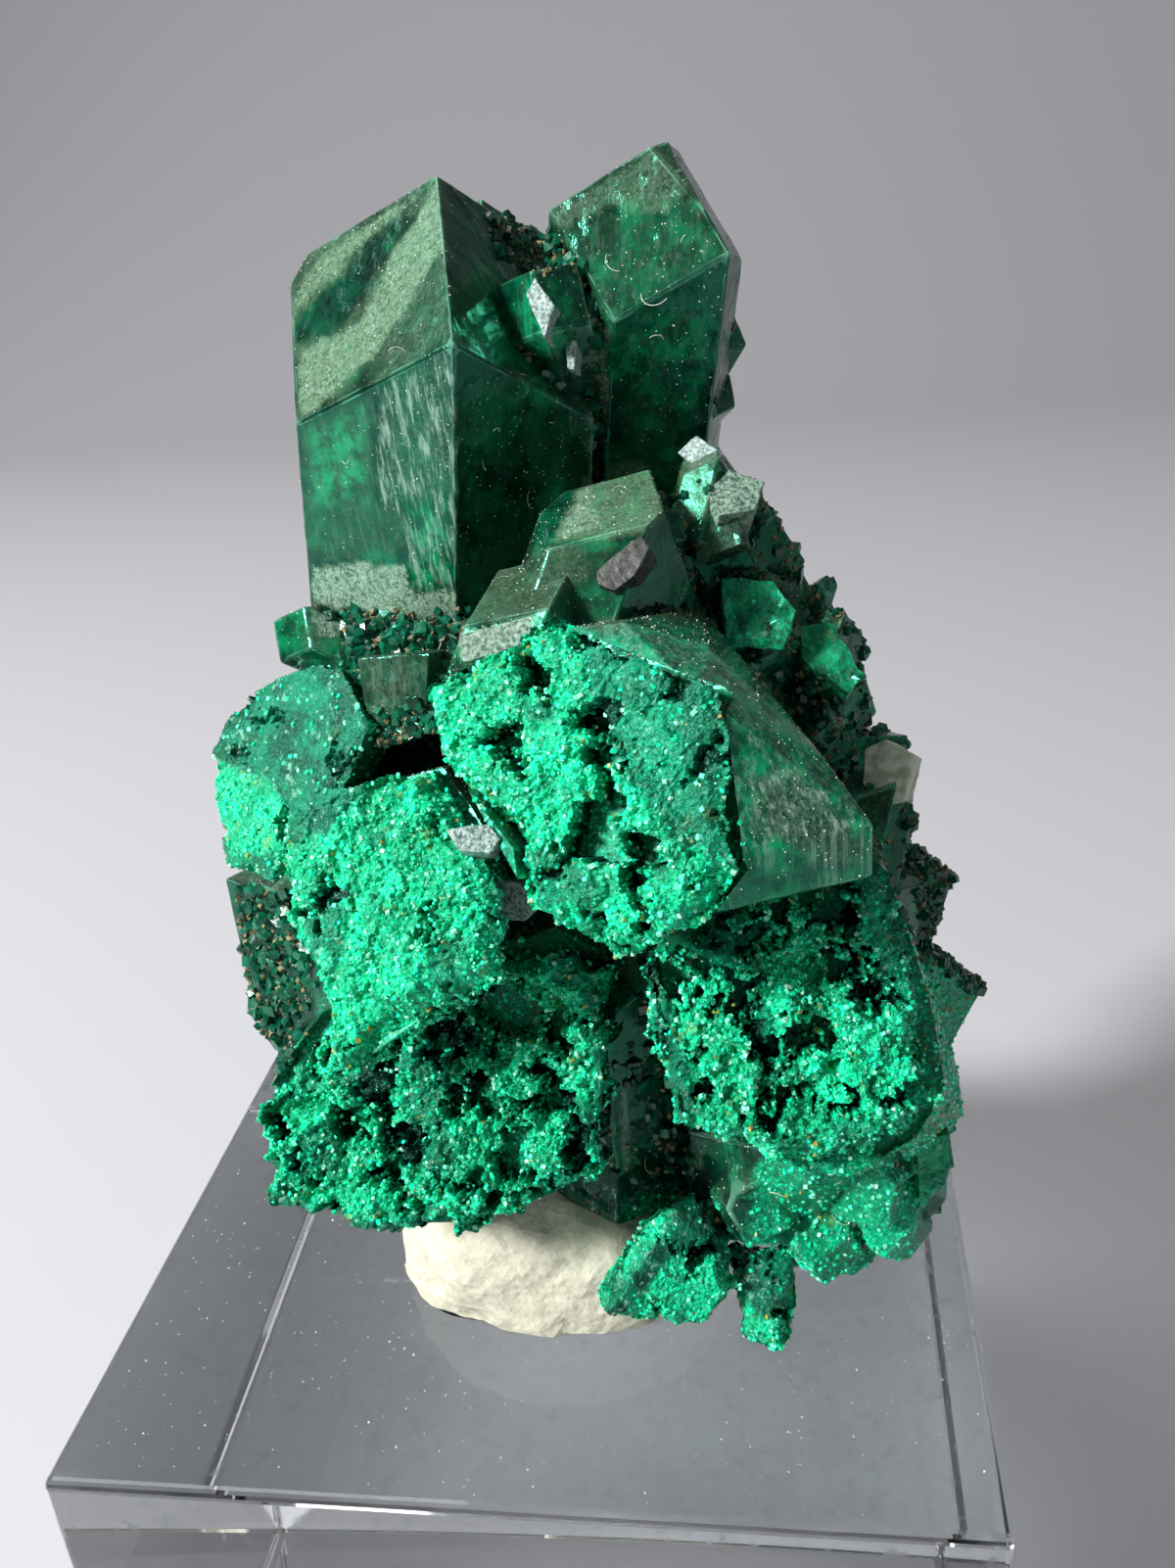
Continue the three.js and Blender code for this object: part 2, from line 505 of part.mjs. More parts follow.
const dioptaseGreen = new THREE.MeshStandardMaterial({ color: 0x0a8a55, roughness: 0.25, metalness: 0 });
const creamPutty = new THREE.MeshStandardMaterial({ color: 0xe8e2cf, roughness: 0.85, metalness: 0 });
const clearAcrylic = new THREE.MeshStandardMaterial({
  color: 0xdfe4ea,
  roughness: 0.05,
  metalness: 0,
  transparent: true,
  opacity: 0.35,
});

const specimen = new THREE.Group();
specimen.position.z = blockHeight;
specimen.add(meshOf(cluster, 'dioptase_cluster', dioptaseGreen));
specimen.add(meshOf(putty, 'putty_lump', creamPutty));

const displayBlock = new THREE.Mesh(chamferedBlock(), clearAcrylic);
displayBlock.name = 'acrylic_block';
displayBlock.position.z = blockHeight / 2;

const group = new THREE.Group();
group.add(specimen, displayBlock);
export default group;
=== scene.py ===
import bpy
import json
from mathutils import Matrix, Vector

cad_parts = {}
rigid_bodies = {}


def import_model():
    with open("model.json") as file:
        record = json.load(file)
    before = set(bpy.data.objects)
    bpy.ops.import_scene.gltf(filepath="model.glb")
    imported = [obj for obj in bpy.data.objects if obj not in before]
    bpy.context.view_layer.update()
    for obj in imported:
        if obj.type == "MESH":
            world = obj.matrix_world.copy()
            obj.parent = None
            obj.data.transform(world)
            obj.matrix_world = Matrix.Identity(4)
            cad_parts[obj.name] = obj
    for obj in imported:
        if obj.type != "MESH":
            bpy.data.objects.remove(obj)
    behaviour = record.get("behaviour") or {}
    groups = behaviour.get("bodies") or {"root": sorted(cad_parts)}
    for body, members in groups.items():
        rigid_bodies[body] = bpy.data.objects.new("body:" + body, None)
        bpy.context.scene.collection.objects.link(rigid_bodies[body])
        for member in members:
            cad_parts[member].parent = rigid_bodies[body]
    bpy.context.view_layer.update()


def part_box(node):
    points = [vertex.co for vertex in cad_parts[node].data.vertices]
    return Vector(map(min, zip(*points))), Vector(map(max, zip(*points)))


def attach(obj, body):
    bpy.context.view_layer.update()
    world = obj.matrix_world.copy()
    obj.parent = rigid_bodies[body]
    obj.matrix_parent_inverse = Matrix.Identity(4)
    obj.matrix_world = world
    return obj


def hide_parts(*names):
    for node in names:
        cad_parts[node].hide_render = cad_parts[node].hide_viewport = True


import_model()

import json
import math
import random

import bmesh
import bpy
from mathutils import Matrix, Quaternion, Vector, noise
from mathutils.bvhtree import BVHTree

# Shapes are worked out in millimetres above the display block's top, and set into the frame at the end
MM = 0.001
BLOCK_LOW, BLOCK_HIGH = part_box("acrylic_block")
BLOCK_WIDTH = (BLOCK_HIGH.x - BLOCK_LOW.x) / MM
BLOCK_TOP = BLOCK_HIGH.z / MM
TO_ROW = Matrix.Scale(MM, 4) @ Matrix.Translation((0.0, 0.0, BLOCK_TOP))

# The camera: where it stands, and how it looks, in degrees
CAMERA_PLACE = Vector((10.99, -53.77, 46.68))
CAMERA_PITCH = 24.53
CAMERA_YAW = 8.93
CAMERA_ROLL = -4.68
CAMERA_LENS = 31.28
CAMERA_SENSOR = 36.0
PHOTO_WIDTH = 1200
PHOTO_HEIGHT = 1601

# Dioptase law: a six-sided prism ended by three faces whose normals stand 51 degrees off the long axis
END_FACE_TILT = 51.0


def camera_axes():
    pitch, yaw, roll = (math.radians(angle) for angle in (CAMERA_PITCH, CAMERA_YAW, CAMERA_ROLL))
    forward = Vector((-math.sin(yaw) * math.cos(pitch), math.cos(yaw) * math.cos(pitch), -math.sin(pitch)))
    level = Vector((math.cos(yaw), math.sin(yaw), 0.0))
    above = level.cross(forward)
    right = level * math.cos(roll) + above * math.sin(roll)
    up = above * math.cos(roll) - level * math.sin(roll)
    return right, up, forward


RIGHT, UP, FORWARD = camera_axes()
FOCAL_PIXELS = CAMERA_LENS / CAMERA_SENSOR * PHOTO_HEIGHT


def pixel_of(place):
    """Where a point shows in the photograph's frame"""
    arm = place - CAMERA_PLACE
    depth = arm.dot(FORWARD)
    across = PHOTO_WIDTH / 2 + FOCAL_PIXELS * arm.dot(RIGHT) / depth
    down = PHOTO_HEIGHT / 2 - FOCAL_PIXELS * arm.dot(UP) / depth
    return across, down


def ray_through(across, down):
    """The direction from the camera through a pixel of the photograph's frame"""
    sideways = RIGHT * ((across - PHOTO_WIDTH / 2) / FOCAL_PIXELS)
    upwards = UP * ((PHOTO_HEIGHT / 2 - down) / FOCAL_PIXELS)
    return (FORWARD + sideways + upwards).normalized()


def inside(outline, x, y):
    """True inside a closed outline of (x, y) points"""
    result = False
    last = outline[-1]
    for here in outline:
        if (here[1] > y) != (last[1] > y):
            if x < (last[0] - here[0]) * (y - here[1]) / (last[1] - here[1]) + here[0]:
                result = not result
        last = here
    return result


def rim_distance(outline, x, y):
    """How far a point is from an outline's nearest side"""
    nearest = 1e9
    last = outline[-1]
    for here in outline:
        dx, dy = here[0] - last[0], here[1] - last[1]
        along = ((x - last[0]) * dx + (y - last[1]) * dy) / max(dx * dx + dy * dy, 1e-9)
        along = min(1.0, max(0.0, along))
        nearest = min(nearest, math.hypot(x - last[0] - along * dx, y - last[1] - along * dy))
        last = here
    return nearest


def smooth(low, high, value):
    """0 below low, 1 above high, and a smooth rise between them"""
    part = min(1.0, max(0.0, (value - low) / (high - low)))
    return part * part * (3.0 - 2.0 * part)


def rough(place, size, seed=0.0, detail=2):
    """Smooth noise from about -1 to 1, whose lumps are about size across"""
    return noise.fractal(place / size + Vector((seed, seed * 1.7, seed * 0.3)), 0.7, 2.1, detail)


# Crystals: the list that the solids have, with five small ones more low on the right, and the little one
# between the two spires set 2.5 mm further forward. Each has its tip, its lean in degrees and where it
# leans to, its turn about its own axis, how far its sides stand from that axis, its length, and any
# further cuts by their turn, tilt and distance.
SPIRES = [
    ((-1.3, 0.5, 46.6), 13, -51.7, 196.1, [5.75], 27, [(-30, 70, 4.2)]),
    ((-0.6, 5, 45.6), 13, -51.7, 196.1, [3], 20),
    ((7.1, 1, 47.2), 24.7, -68.6, 223.7, [3.6, 3.6, 3.6, 1.6, 1.6, 3.6], 25, [(90, 25, -0.35)]),
    ((2.3, -1.8, 43.2), 42, -95, 70, [1.65], 6),
    ((1, 8.5, 44.2), 6, 60, 20, [2.75], 18),
    ((9.4, 3.4, 40.8), 35, -20, 10, [1], 4),
    ((9.2, 3.4, 38.4), 50, 0, 40, [1], 4),
]
SHOULDER = [
    ((6.3, -3, 36.1), 32, 50, 205.5, [3.2, 2.9, 2.4], 8),
    ((3.9, -6, 33.9), 28.4, 28.4, 59.6, [2.8, 2.8, 2.7], 7),
    ((7.6, -4.4, 34.8), 55, 10, 20, [0.8, 0.9, 0.8], 4.4),
    ((-9.7, -2, 30.4), 60, 190, 15, [1.3], 5),
    ((-8.6, -3, 28.9), 70, 215, 50, [1.3], 5),
]
RIGHT_SLOPE = [
    ((8.8, -1.6, 36.6), 30, 60, 70, [1.1], 4),
    ((10, -0.8, 35.2), 30, 0, 30, [1.4], 5),
    ((9.2, -2.6, 33.9), 40, -60, 0, [1.5], 6),
    ((10.9, -0.8, 33.6), 25, -10, 20, [1.6], 6),
    ((10.6, -3, 31.9), 20, -60, 65, [1.8], 6),
    ((12.9, -1, 31.2), 15, 0, 20, [0.45], 3),
    ((13.6, -1.8, 29.9), 35, -20, 60, [1.9], 6),
    ((13, -4, 26.2), 60, -70, 20, [0.8], 4),
    ((15.3, -2.6, 23.9), 30, 60, 70, [1.3], 5),
]
SLOPE_BODIES = [
    ((10.6, 1.5, 33.6), 32, 15, 10, [3.5], 14),
    ((13.8, 1, 28.6), 42, -5, 40, [3.5], 13),
    ((16.4, 1.5, 23.2), 55, 0, 10, [3.5], 14),
    ((18.5, 1, 16.6), 72, 0, 30, [3.5], 15),
    ((20, 0.6, 11), 85, -4, 0, [3], 15),
    ((18.8, -2, 7.5), 100, -12, 25, [3], 13),
]
LOW_FRONT = [
    ((4.2, -4.6, 23), 1, 0, 0, [4.7], 17),
    ((17.6, -6.4, 3.9), 112, -28, 20, [2.2], 9),
    ((18.2, -5.6, 7.8), 92, -20, 50, [2.1], 8),
    ((13.7, -8.6, 2.2), 150, -60, 0, [1.3], 6),
    ((11.4, -8.4, 2.4), 160, -80, 30, [0.9], 5),
    ((15.8, -10.6, 5.2), 150, -40, 10, [1.5, 1.2], 5),
    ((12.4, -12.2, 5.2), 135, -80, 40, [1.5, 1.1, 1.5], 5),
    ((17.6, -9.4, 9), 100, -30, 20, [1.5], 5),
    ((9.4, -12.8, 7.6), 118, -95, 25, [1.4, 1.7], 5),
    ((14.8, -12.4, 8.4), 112, -70, 5, [1.8, 1.4], 5),
]
BACK = [
    ((-5.4, 11.6, 36.6), 34, 112, 20, [2.9], 15),
    ((1.8, 13.2, 35.4), 46, 88, 0, [3.3], 15),
    ((8.6, 11.2, 33), 46, 60, 40, [2.7], 13),
    ((-9.6, 8.8, 28), 62, 138, 15, [2.8], 13),
    ((-3.2, 14, 26.8), 74, 102, 30, [3.4], 15),
    ((4.6, 14.4, 24.6), 84, 84, 10, [3.1], 15),
    ((11.4, 12.2, 25), 72, 52, 50, [2.8], 14),
    ((15.2, 8.6, 19.4), 88, 36, 25, [2.8], 13),
    ((-11, 3.6, 20.4), 84, 168, 20, [2.6], 11),
    ((-10.2, 8.6, 17), 94, 142, 45, [2.8], 13),
    ((-4.8, 13, 15.8), 96, 112, 0, [3.2], 14),
    ((3.4, 13.8, 14.4), 100, 88, 40, [3.5], 14),
    ((11, 12, 13.4), 98, 62, 5, [3], 14),
    ((16.8, 5.4, 11.6), 96, 22, 35, [2.8], 12),
    ((-9.6, 3, 10.6), 108, 165, 10, [2.6], 10),
    ((-4.6, 9.4, 7.4), 118, 125, 30, [2.8], 12),
    ((5.6, 10.4, 6.6), 122, 80, 15, [2.9], 12),
    ((13.4, 6.4, 6.2), 118, 40, 50, [2.5], 11),
]

# The etched crystals of the front, by their corners: the worn front face first, then the back
CENTRAL = [
    (-1.1, -10.5, 30.4), (-0.6, -11.5, 28.7), (2.4, -13.8, 26.3), (2.5, -14.7, 24.5), (5.2, -16.1, 23.7),
    (7.8, -16.5, 24.7), (9.2, -16.1, 26.5), (8.6, -13.6, 31.1), (4.4, -11.6, 32.1), (3, -10.9, 32.5),
    (5.9, -10.7, 32.7), (8.6, -10.3, 31.6), (9.9, -11.2, 30.2), (12.3, -12.2, 28.4), (13.9, -13.6, 26.5),
    (13.9, -13.6, 24.6), (12, -6, 24), (0.5, -4, 30), (8, -4, 31), (4, -6, 22.5),
]
RIGHT_ETCHED = [
    (5.7, -12.7, 20.3), (8.2, -11.6, 21.9), (10.9, -10.7, 23.1), (12.1, -10.4, 23.4), (14.4, -10.3, 22.9),
    (14.8, -10.5, 22.5), (15.8, -11.8, 19.4), (16.4, -13.3, 15.9), (15.3, -14.2, 14.4), (12.4, -15.2, 13.1),
    (10.5, -15.3, 13.4), (6.8, -14.9, 15.2), (5.9, -13.5, 18.6), (15.8, -8, 18.7), (17.9, -7, 12),
    (18.2, -7, 9.8), (17, -8, 8.6), (8, -5, 12), (9, -4, 21), (14.5, -4, 21.5),
]
LOWER_LEFT_ETCHED = [
    (-9.7, -12.6, 13.4), (-8.5, -12.1, 15), (-6.8, -11.6, 17), (0.1, -11.3, 19.7), (2.4, -11.2, 20.7),
    (4.4, -11.7, 19.8), (4.2, -14.5, 12.4), (2.1, -14.7, 11.1), (-0.7, -14.9, 9.8), (-4.3, -14.7, 9.3),
    (-6.7, -14.3, 9.7), (-9.7, -13.8, 10.2), (-9.5, -5, 9), (-8.5, -4, 17), (1.5, -5, 8),
    (2.5, -4, 19), (-4.5, -6, 6.2),
]
UPPER_LEFT_ETCHED = [
    (-7.6, -10.6, 25.3), (-6.8, -10.4, 25.9), (-1.7, -11, 27.4), (-0.1, -12.5, 25.9), (1.2, -14, 24.4),
    (0.8, -15.6, 21.9), (-2.7, -15.6, 20.2), (-4.4, -16.4, 18.3), (-5.8, -14.2, 20.9), (-7, -12.5, 22.7),
    (-6.5, -6, 24.5), (0, -6, 26), (-5, -7, 17.5), (0.5, -7, 19.5),
]
FAR_LEFT_ETCHED = [
    (-12, -6.5, 25.1), (-11.7, -6, 26.2), (-10, -5.6, 28.3), (-7.5, -6.3, 29.6), (-5.6, -7.2, 29.9),
    (-4.3, -8.9, 28.5), (-5, -9.6, 26.8), (-7.2, -9.9, 24.2), (-8.6, -9.9, 22.9), (-10.8, -8.7, 22.8),
    (-11.1, -7.9, 23.7), (-11, -3, 24), (-8, -2, 28), (-5, -4, 28.5), (-8.5, -4, 22),
]
FAR_LEFT_LOBE = [
    (-10, -9, 22.4), (-9.1, -9, 23.5), (-7.2, -9.8, 23.6), (-6.9, -10.6, 22.6), (-8.6, -10.2, 21.7),
    (-9, -4, 22.5), (-7, -4, 21.5),
]
LEFT_MATRIX = [
    (-11.2, -8, 21.6), (-11, -8.2, 18), (-10.7, -8.8, 14.6), (-7, -10, 21), (-6.5, -10.8, 14.6),
    (-9.5, -3, 21), (-9, -3, 14),
]
DARK_COLUMN = [
    (-5.4, -6, 31.3), (-4, -4.4, 31.8), (-1, -6, 30.8), (-3.8, -9, 27.6), (-1.3, -9, 28.3),
    (-0.6, -7.6, 29.6), (-4.5, -2, 27), (-1, -2, 27),
]
LEAF_TIP = [
    (3.6, -13, 4.5), (5.5, -12, 7.2), (7.2, -11, 7.9), (8.8, -11.5, 4.1), (7.6, -12, 2.8),
    (5.4, -13, 3.4), (8, -8, 6.5), (9, -8, 4.8), (6, -10, 6),
]
HANGING_TIP = [
    (8.7, -10, 4.8), (10.8, -10, 4.6), (11, -11.5, 3), (10.5, -12.5, 1.9), (9.2, -12, 2.3),
    (8.9, -8, 6), (11, -8, 6),
]
LOWER_RIGHT_BODY = [
    (7.1, -10, 11), (6.8, -9, 5.8), (9, -9.6, 4.2), (12, -9, 3.6), (16.6, -7, 3.4),
    (17.7, -7, 5.2), (17.7, -7, 9), (12, -13.5, 12.5), (8, -2, 5.2), (15, -1, 5.2),
    (8, -2, 12),
]
LOWER_HEART = [
    (-6, -8, 6.4), (-5, 4, 5.2), (7, 5, 5.2), (12, -6, 5.6), (13, 4, 7),
    (-9.5, -4, 14), (-8.5, 6, 14), (15, -4, 14), (15, 7, 14), (4, -9, 16),
    (-8, -4, 23), (-7, 6.5, 24), (12.5, -3, 23), (12, 7.5, 24),
]
UPPER_HEART = [
    (-8, -4, 22), (-7, 6.5, 22), (12.5, -3, 22), (12, 7.5, 22),
    (-4.5, -4, 30), (-4.5, 7, 31), (8.5, -2, 32), (8.5, 7.5, 32), (2.5, -6, 29),
]
# Each etched face: its block's corners, how many of them bound the face, how rough and how full of holes
# it is, and how far its crust stands over its outline
ETCHED_FACES = {
    "central": dict(corners=CENTRAL, rim=10, relief=0.5, holes=0.25, seed=3.0, overhang=0.4),
    "right": dict(corners=RIGHT_ETCHED, rim=13, relief=0.8, holes=0.34, seed=9.0, overhang=-0.25),
    "lower_left": dict(corners=LOWER_LEFT_ETCHED, rim=12, relief=0.9, holes=0.60, seed=14.0, overhang=-0.15),
    "upper_left": dict(corners=UPPER_LEFT_ETCHED, rim=10, relief=0.5, holes=0.05, seed=21.0, overhang=0.25),
    "far_left": dict(corners=FAR_LEFT_ETCHED, rim=11, relief=0.12, holes=-0.3, seed=33.0, overhang=0.25),
    "leaf_tip": dict(corners=LEAF_TIP, rim=6, relief=0.15, holes=-0.1, seed=40.0, overhang=0.25),
    "hanging_tip": dict(corners=HANGING_TIP, rim=5, relief=0.12, holes=-0.3, seed=47.0, overhang=0.25),
}
PLAIN_BLOCKS = [
    FAR_LEFT_LOBE, LEFT_MATRIX, DARK_COLUMN, LOWER_RIGHT_BODY, LOWER_HEART, UPPER_HEART,
]
# The holes that the etching left, by where they open, their width and height on the face
PITS = [
    ((4.9, -12.8, 30.0), 1.4, 0.7), ((5.3, -14.1, 27.7), 0.8, 1.9), ((6.2, -15.0, 26.6), 1.5, 0.7),
    ((3.3, -14.5, 25.5), 1.0, 0.8), ((8.9, -14.3, 29.8), 1.3, 0.6), ((10.3, -13.3, 17.6), 0.9, 1.8),
    ((11.5, -12.9, 18.1), 1.8, 0.8), ((13.0, -11.8, 20.1), 1.0, 1.2), ((9.6, -11.8, 21.1), 1.6, 1.1),
    ((13.3, -13.9, 15.5), 1.0, 0.8), ((0.6, -12.0, 18.0), 2.4, 2.0), ((-1.8, -12.2, 16.8), 2.2, 1.6),
    ((-4.8, -12.3, 15.5), 2.0, 1.0), ((-0.9, -12.9, 15.2), 1.4, 0.9), ((2.0, -13.3, 14.8), 2.2, 0.8),
    ((-6.1, -13.0, 13.4), 1.2, 1.2), ((-2.9, -13.4, 13.3), 1.5, 0.8), ((2.5, -12.4, 17.2), 0.8, 1.4),
    ((0.6, -14.0, 12.5), 1.3, 0.9), ((-8.2, -13.4, 11.7), 1.1, 0.8), ((-1.4, -14.2, 11.6), 1.6, 0.7),
    ((3.1, -13.9, 13.5), 0.7, 1.5),
]
# Edges: how far they are worn round, and how long they may be on hidden faces, on seen ones and on facets
EDGE_WEAR = 0.07
LONGEST_EDGE = 0.9
LONGEST_SEEN_EDGE = 0.42
LONGEST_FACET_EDGE = 0.4
SPIRE_FOOT = 26.0
# Grains: how many there are per square millimetre, and their smallest and largest size
SUGAR_AMOUNT, BODY_SUGAR_AMOUNT, SUGAR_SIZES = 11.0, 9.0, (0.06, 0.20)
DRUSE_AMOUNT, DRUSE_SIZES = 8.0, (0.18, 0.62)
BROWN_AMOUNT, BROWN_SIZES = 9.0, (0.07, 0.27)
DUST_AMOUNT, DUST_SIZES = 10.0, (0.025, 0.085)
BLOCK_DUST_AMOUNT, BLOCK_DUST_SIZES = 0.8, (0.04, 0.13)
DRUSE_TILT, DRUSE_SINK = 0.7, 0.12
# The crust: its fine grid and the spare width round it, its relief, its side walls and its back
CRUST_GRID = 0.075
SHEET_MARGIN = 1.2
TERRACE_STEP = 0.34
SWELL_HEIGHT = 0.35
LUMP_SIZE, LUMP_HEIGHT = 0.75, 0.42
WRINKLE_HEIGHT = 0.22
GRAIN_HEIGHT = 0.06
HOLE_DEPTH = 2.0
PIT_NEARNESS = 1.6
RIM_WIDTH, RIM_DROP = 0.8, 0.9
WALL_STEPS = 5
WALL_STEP = 0.34
CRUST_BACK = 2.1
# The tray that the crust lies in, cut out of the clear crystals
TRAY_DEPTH = 1.5
TRAY_HEIGHT = 3.0
TRAY_MARGIN = 0.55
# Facets: how far they stand out, how deep they are rooted, and how worn their edges are
FACET_STAND, FACET_ROOT, FACET_WEAR = 0.25, 0.5, 0.04
# Lint: the least and greatest thickness of its fibres, and how far they lie above a face
LINT_THICKNESS, LINT_LIFT = (0.007, 0.011), 0.06
# Putty: its full height and middle, how square it is, and the folds, thumb marks and grain on it, each by
# height, size and seed
PUTTY_HEIGHT, PUTTY_MIDDLE, PUTTY_FOOT = 12.0, 1.2, 0.02
PUTTY_SQUARENESS = 2.6
PUTTY_FOLDS = ((0.30, 3.2, 2.0), (0.10, 1.1, 6.0), (0.03, 0.3, 9.0))
# The block's broken edges, and the dustless margin of its top
BLOCK_BEVEL, DUSTLESS_MARGIN = 0.4, 0.6
# In metres: the floor's half width, its front edge, its flat part's depth, its bend and its rise behind
FLOOR_SIDE, FLOOR_FRONT, FLOOR_DEPTH, FLOOR_BEND, FLOOR_RISE = 1.2, -0.9, 1.25, 0.35, 1.0
FLOOR_BEND_TURN = 88
# Lights: where each one stands, in metres, its width and its power
LIGHTS = {
    "key": ((-0.33, -0.26, 0.32), 0.08, 4.9),
    "fill": ((0.45, -0.25, 0.30), 0.5, 0.25),
    "back": ((-0.25, 0.10, 0.55), 0.35, 1.6),
}
SPECIMEN_MIDDLE = Vector((3.0, -4.0, 22.0))


def direction(turn, tilt):
    """A direction by its turn about the long axis and its tilt away from it"""
    outward = math.sin(math.radians(tilt))
    heading = math.radians(turn)
    return Vector((outward * math.cos(heading), outward * math.sin(heading), math.cos(math.radians(tilt))))


def only(geometry, kind):
    """The items of one kind in what a mesh operation gives back"""
    return [item for item in geometry if isinstance(item, kind)]


def cut(bm, normal, distance):
    """Cuts off what lies beyond a plane, and closes the cut"""
    everything = bm.verts[:] + bm.edges[:] + bm.faces[:]
    result = bmesh.ops.bisect_plane(
        bm, geom=everything, dist=1e-5, plane_co=normal * distance, plane_no=normal, clear_outer=True)
    rim = only(result["geom_cut"], bmesh.types.BMEdge)
    if len(rim) > 2:
        bmesh.ops.contextual_create(bm, geom=rim)


def worn_edges(bm, width):
    """Rounds every edge a little"""
    bmesh.ops.bevel(
        bm, geom=bm.edges[:], offset=width, offset_type="OFFSET", segments=2, profile=0.5,
        affect="EDGES", clamp_overlap=True, material=-1)


def crystal(tip, lean, toward, spin, sides, length, bevels=(), wear=EDGE_WEAR):
    """One crystal cut to the dioptase law, with its tip and its lean"""
    bm = bmesh.new()
    bmesh.ops.create_cube(bm, size=length * 4)
    cut(bm, direction(0, 180), length)
    for k in range(6):
        cut(bm, direction(60 * k, 90), sides[k % len(sides)])
    for k in range(3):
        cut(bm, direction(30 + 120 * k, END_FACE_TILT), 0.0)
    for turn, tilt, distance in bevels:
        cut(bm, direction(turn, tilt), distance)
    if wear:
        worn_edges(bm, min(wear, min(sides) * 0.12))
    heading = math.radians(toward)
    tipping = Quaternion((-math.sin(heading), math.cos(heading), 0.0), math.radians(lean))
    place = tipping @ Quaternion((0.0, 0.0, 1.0), math.radians(spin))
    bm.transform(Matrix.Translation(tip) @ place.to_matrix().to_4x4())
    return bm


def block(corners, wear=EDGE_WEAR):
    """A flat-faced lump from its corners"""
    bm = bmesh.new()
    for corner in corners:
        bm.verts.new(corner)
    hull = bmesh.ops.convex_hull(bm, input=bm.verts[:])
    bmesh.ops.delete(bm, geom=only(hull["geom_interior"], bmesh.types.BMVert), context="VERTS")
    bmesh.ops.recalc_face_normals(bm, faces=bm.faces[:])
    bmesh.ops.dissolve_limit(bm, angle_limit=math.radians(1), verts=bm.verts[:], edges=bm.edges[:])
    if wear:
        worn_edges(bm, wear)
    return bm


class FacePlane:
    """The flat frame of an etched face: its middle, its sideways, upward and outward directions"""

    def __init__(self, corners, rim):
        points = [Vector(corner) for corner in corners[:rim]]
        self.middle = sum(points, Vector()) / rim
        outward = Vector()
        for i, here in enumerate(points):
            outward += (here - self.middle).cross(points[(i + 1) % rim] - self.middle)
        self.out = outward.normalized()
        if self.out.y > 0:
            self.out.negate()
        self.across = Vector((0, 0, 1)).cross(self.out).normalized()
        self.up = self.out.cross(self.across)
        self.outline = [tuple(Vector(self.flat(point)[:2])) for point in points]
        turned = Matrix((self.across, self.up, self.out)).transposed().to_4x4()
        self.matrix = Matrix.Translation(self.middle) @ turned

    def flat(self, place):
        arm = place - self.middle
        return arm.dot(self.across), arm.dot(self.up), arm.dot(self.out)

    def reach(self, x, y):
        """How far a spot of the plane lies inside the face, below zero outside it"""
        away = rim_distance(self.outline, x, y)
        return away if inside(self.outline, x, y) else -away


def mesh_of(name, bm):
    mesh = bpy.data.meshes.new(name)
    bm.to_mesh(mesh)
    bm.free()
    return mesh


def object_of(name, bm):
    return bpy.data.objects.new(name, mesh_of(name, bm))


def ray_tree(mesh):
    """What rays are cast against to find spots on a mesh"""
    bm = bmesh.new()
    bm.from_mesh(mesh)
    tree = BVHTree.FromBMesh(bm)
    bm.free()
    return tree


def finished_mesh(shape):
    """The mesh of an object with its modifiers applied"""
    bpy.context.view_layer.update()
    graph = bpy.context.evaluated_depsgraph_get()
    return bpy.data.meshes.new_from_object(shape.evaluated_get(graph))


def fused(base, others, operation):
    """One closed mesh: a base joined with other closed shapes, or cut by them"""
    shape = object_of("base", base)
    bpy.context.scene.collection.objects.link(shape)
    tools = bpy.data.collections.new("tools")
    bpy.context.scene.collection.children.link(tools)
    for other in others:
        tools.objects.link(object_of("tool", other))
    join = shape.modifiers.new("join", "BOOLEAN")
    join.operation = operation
    join.operand_type = "COLLECTION"
    join.collection = tools
    join.solver = "MANIFOLD"
    mesh = finished_mesh(shape)
    for spare in [*tools.objects, shape]:
        bpy.data.objects.remove(spare)
    bpy.data.collections.remove(tools)
    bm = bmesh.new()
    bm.from_mesh(mesh)
    bpy.data.meshes.remove(mesh)
    return bm


def split_long_edges(bm, coarse, fine, rounds=7):
    """Splits the large flat faces into small ones: fine where the photograph sees them, coarse elsewhere"""
    bmesh.ops.triangulate(bm, faces=bm.faces[:])
    bm.normal_update()
    for _ in range(rounds):
        long_edges = []
        for edge in bm.edges:
            middle = (edge.verts[0].co + edge.verts[1].co) / 2
            seen = middle.z > SPIRE_FOOT and any(
                face.normal.dot(CAMERA_PLACE - middle) > 0 for face in edge.link_faces)
            if edge.calc_length() > (fine if seen else coarse):
                long_edges.append(edge)
        if not long_edges:
            break
        bmesh.ops.subdivide_edges(bm, edges=long_edges, cuts=1)
        bmesh.ops.triangulate(bm, faces=[face for face in bm.faces if len(face.verts) > 3])


def place_piece(name, mesh, material, node="dioptase_cluster"):
    """Sets a piece made in millimetres into the frame, on the root body"""
    mesh.transform(TO_ROW)
    mesh.name = name
    piece = bpy.data.objects.new(name, mesh)
    bpy.context.scene.collection.objects.link(piece)
    mesh.materials.clear()
    mesh.materials.append(material)
    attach(piece, "root")
    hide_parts(node)
    return piece


# Node helpers
def put(tree, kind, inputs=None, **settings):
    """A node with its settings, whose inputs are values or other nodes' outputs"""
    node = tree.nodes.new(kind)
    for key, value in settings.items():
        setattr(node, key, value)
    for key, value in (inputs or {}).items():
        if isinstance(value, bpy.types.NodeSocket):
            tree.links.new(value, node.inputs[key])
        else:
            node.inputs[key].default_value = value
    return node


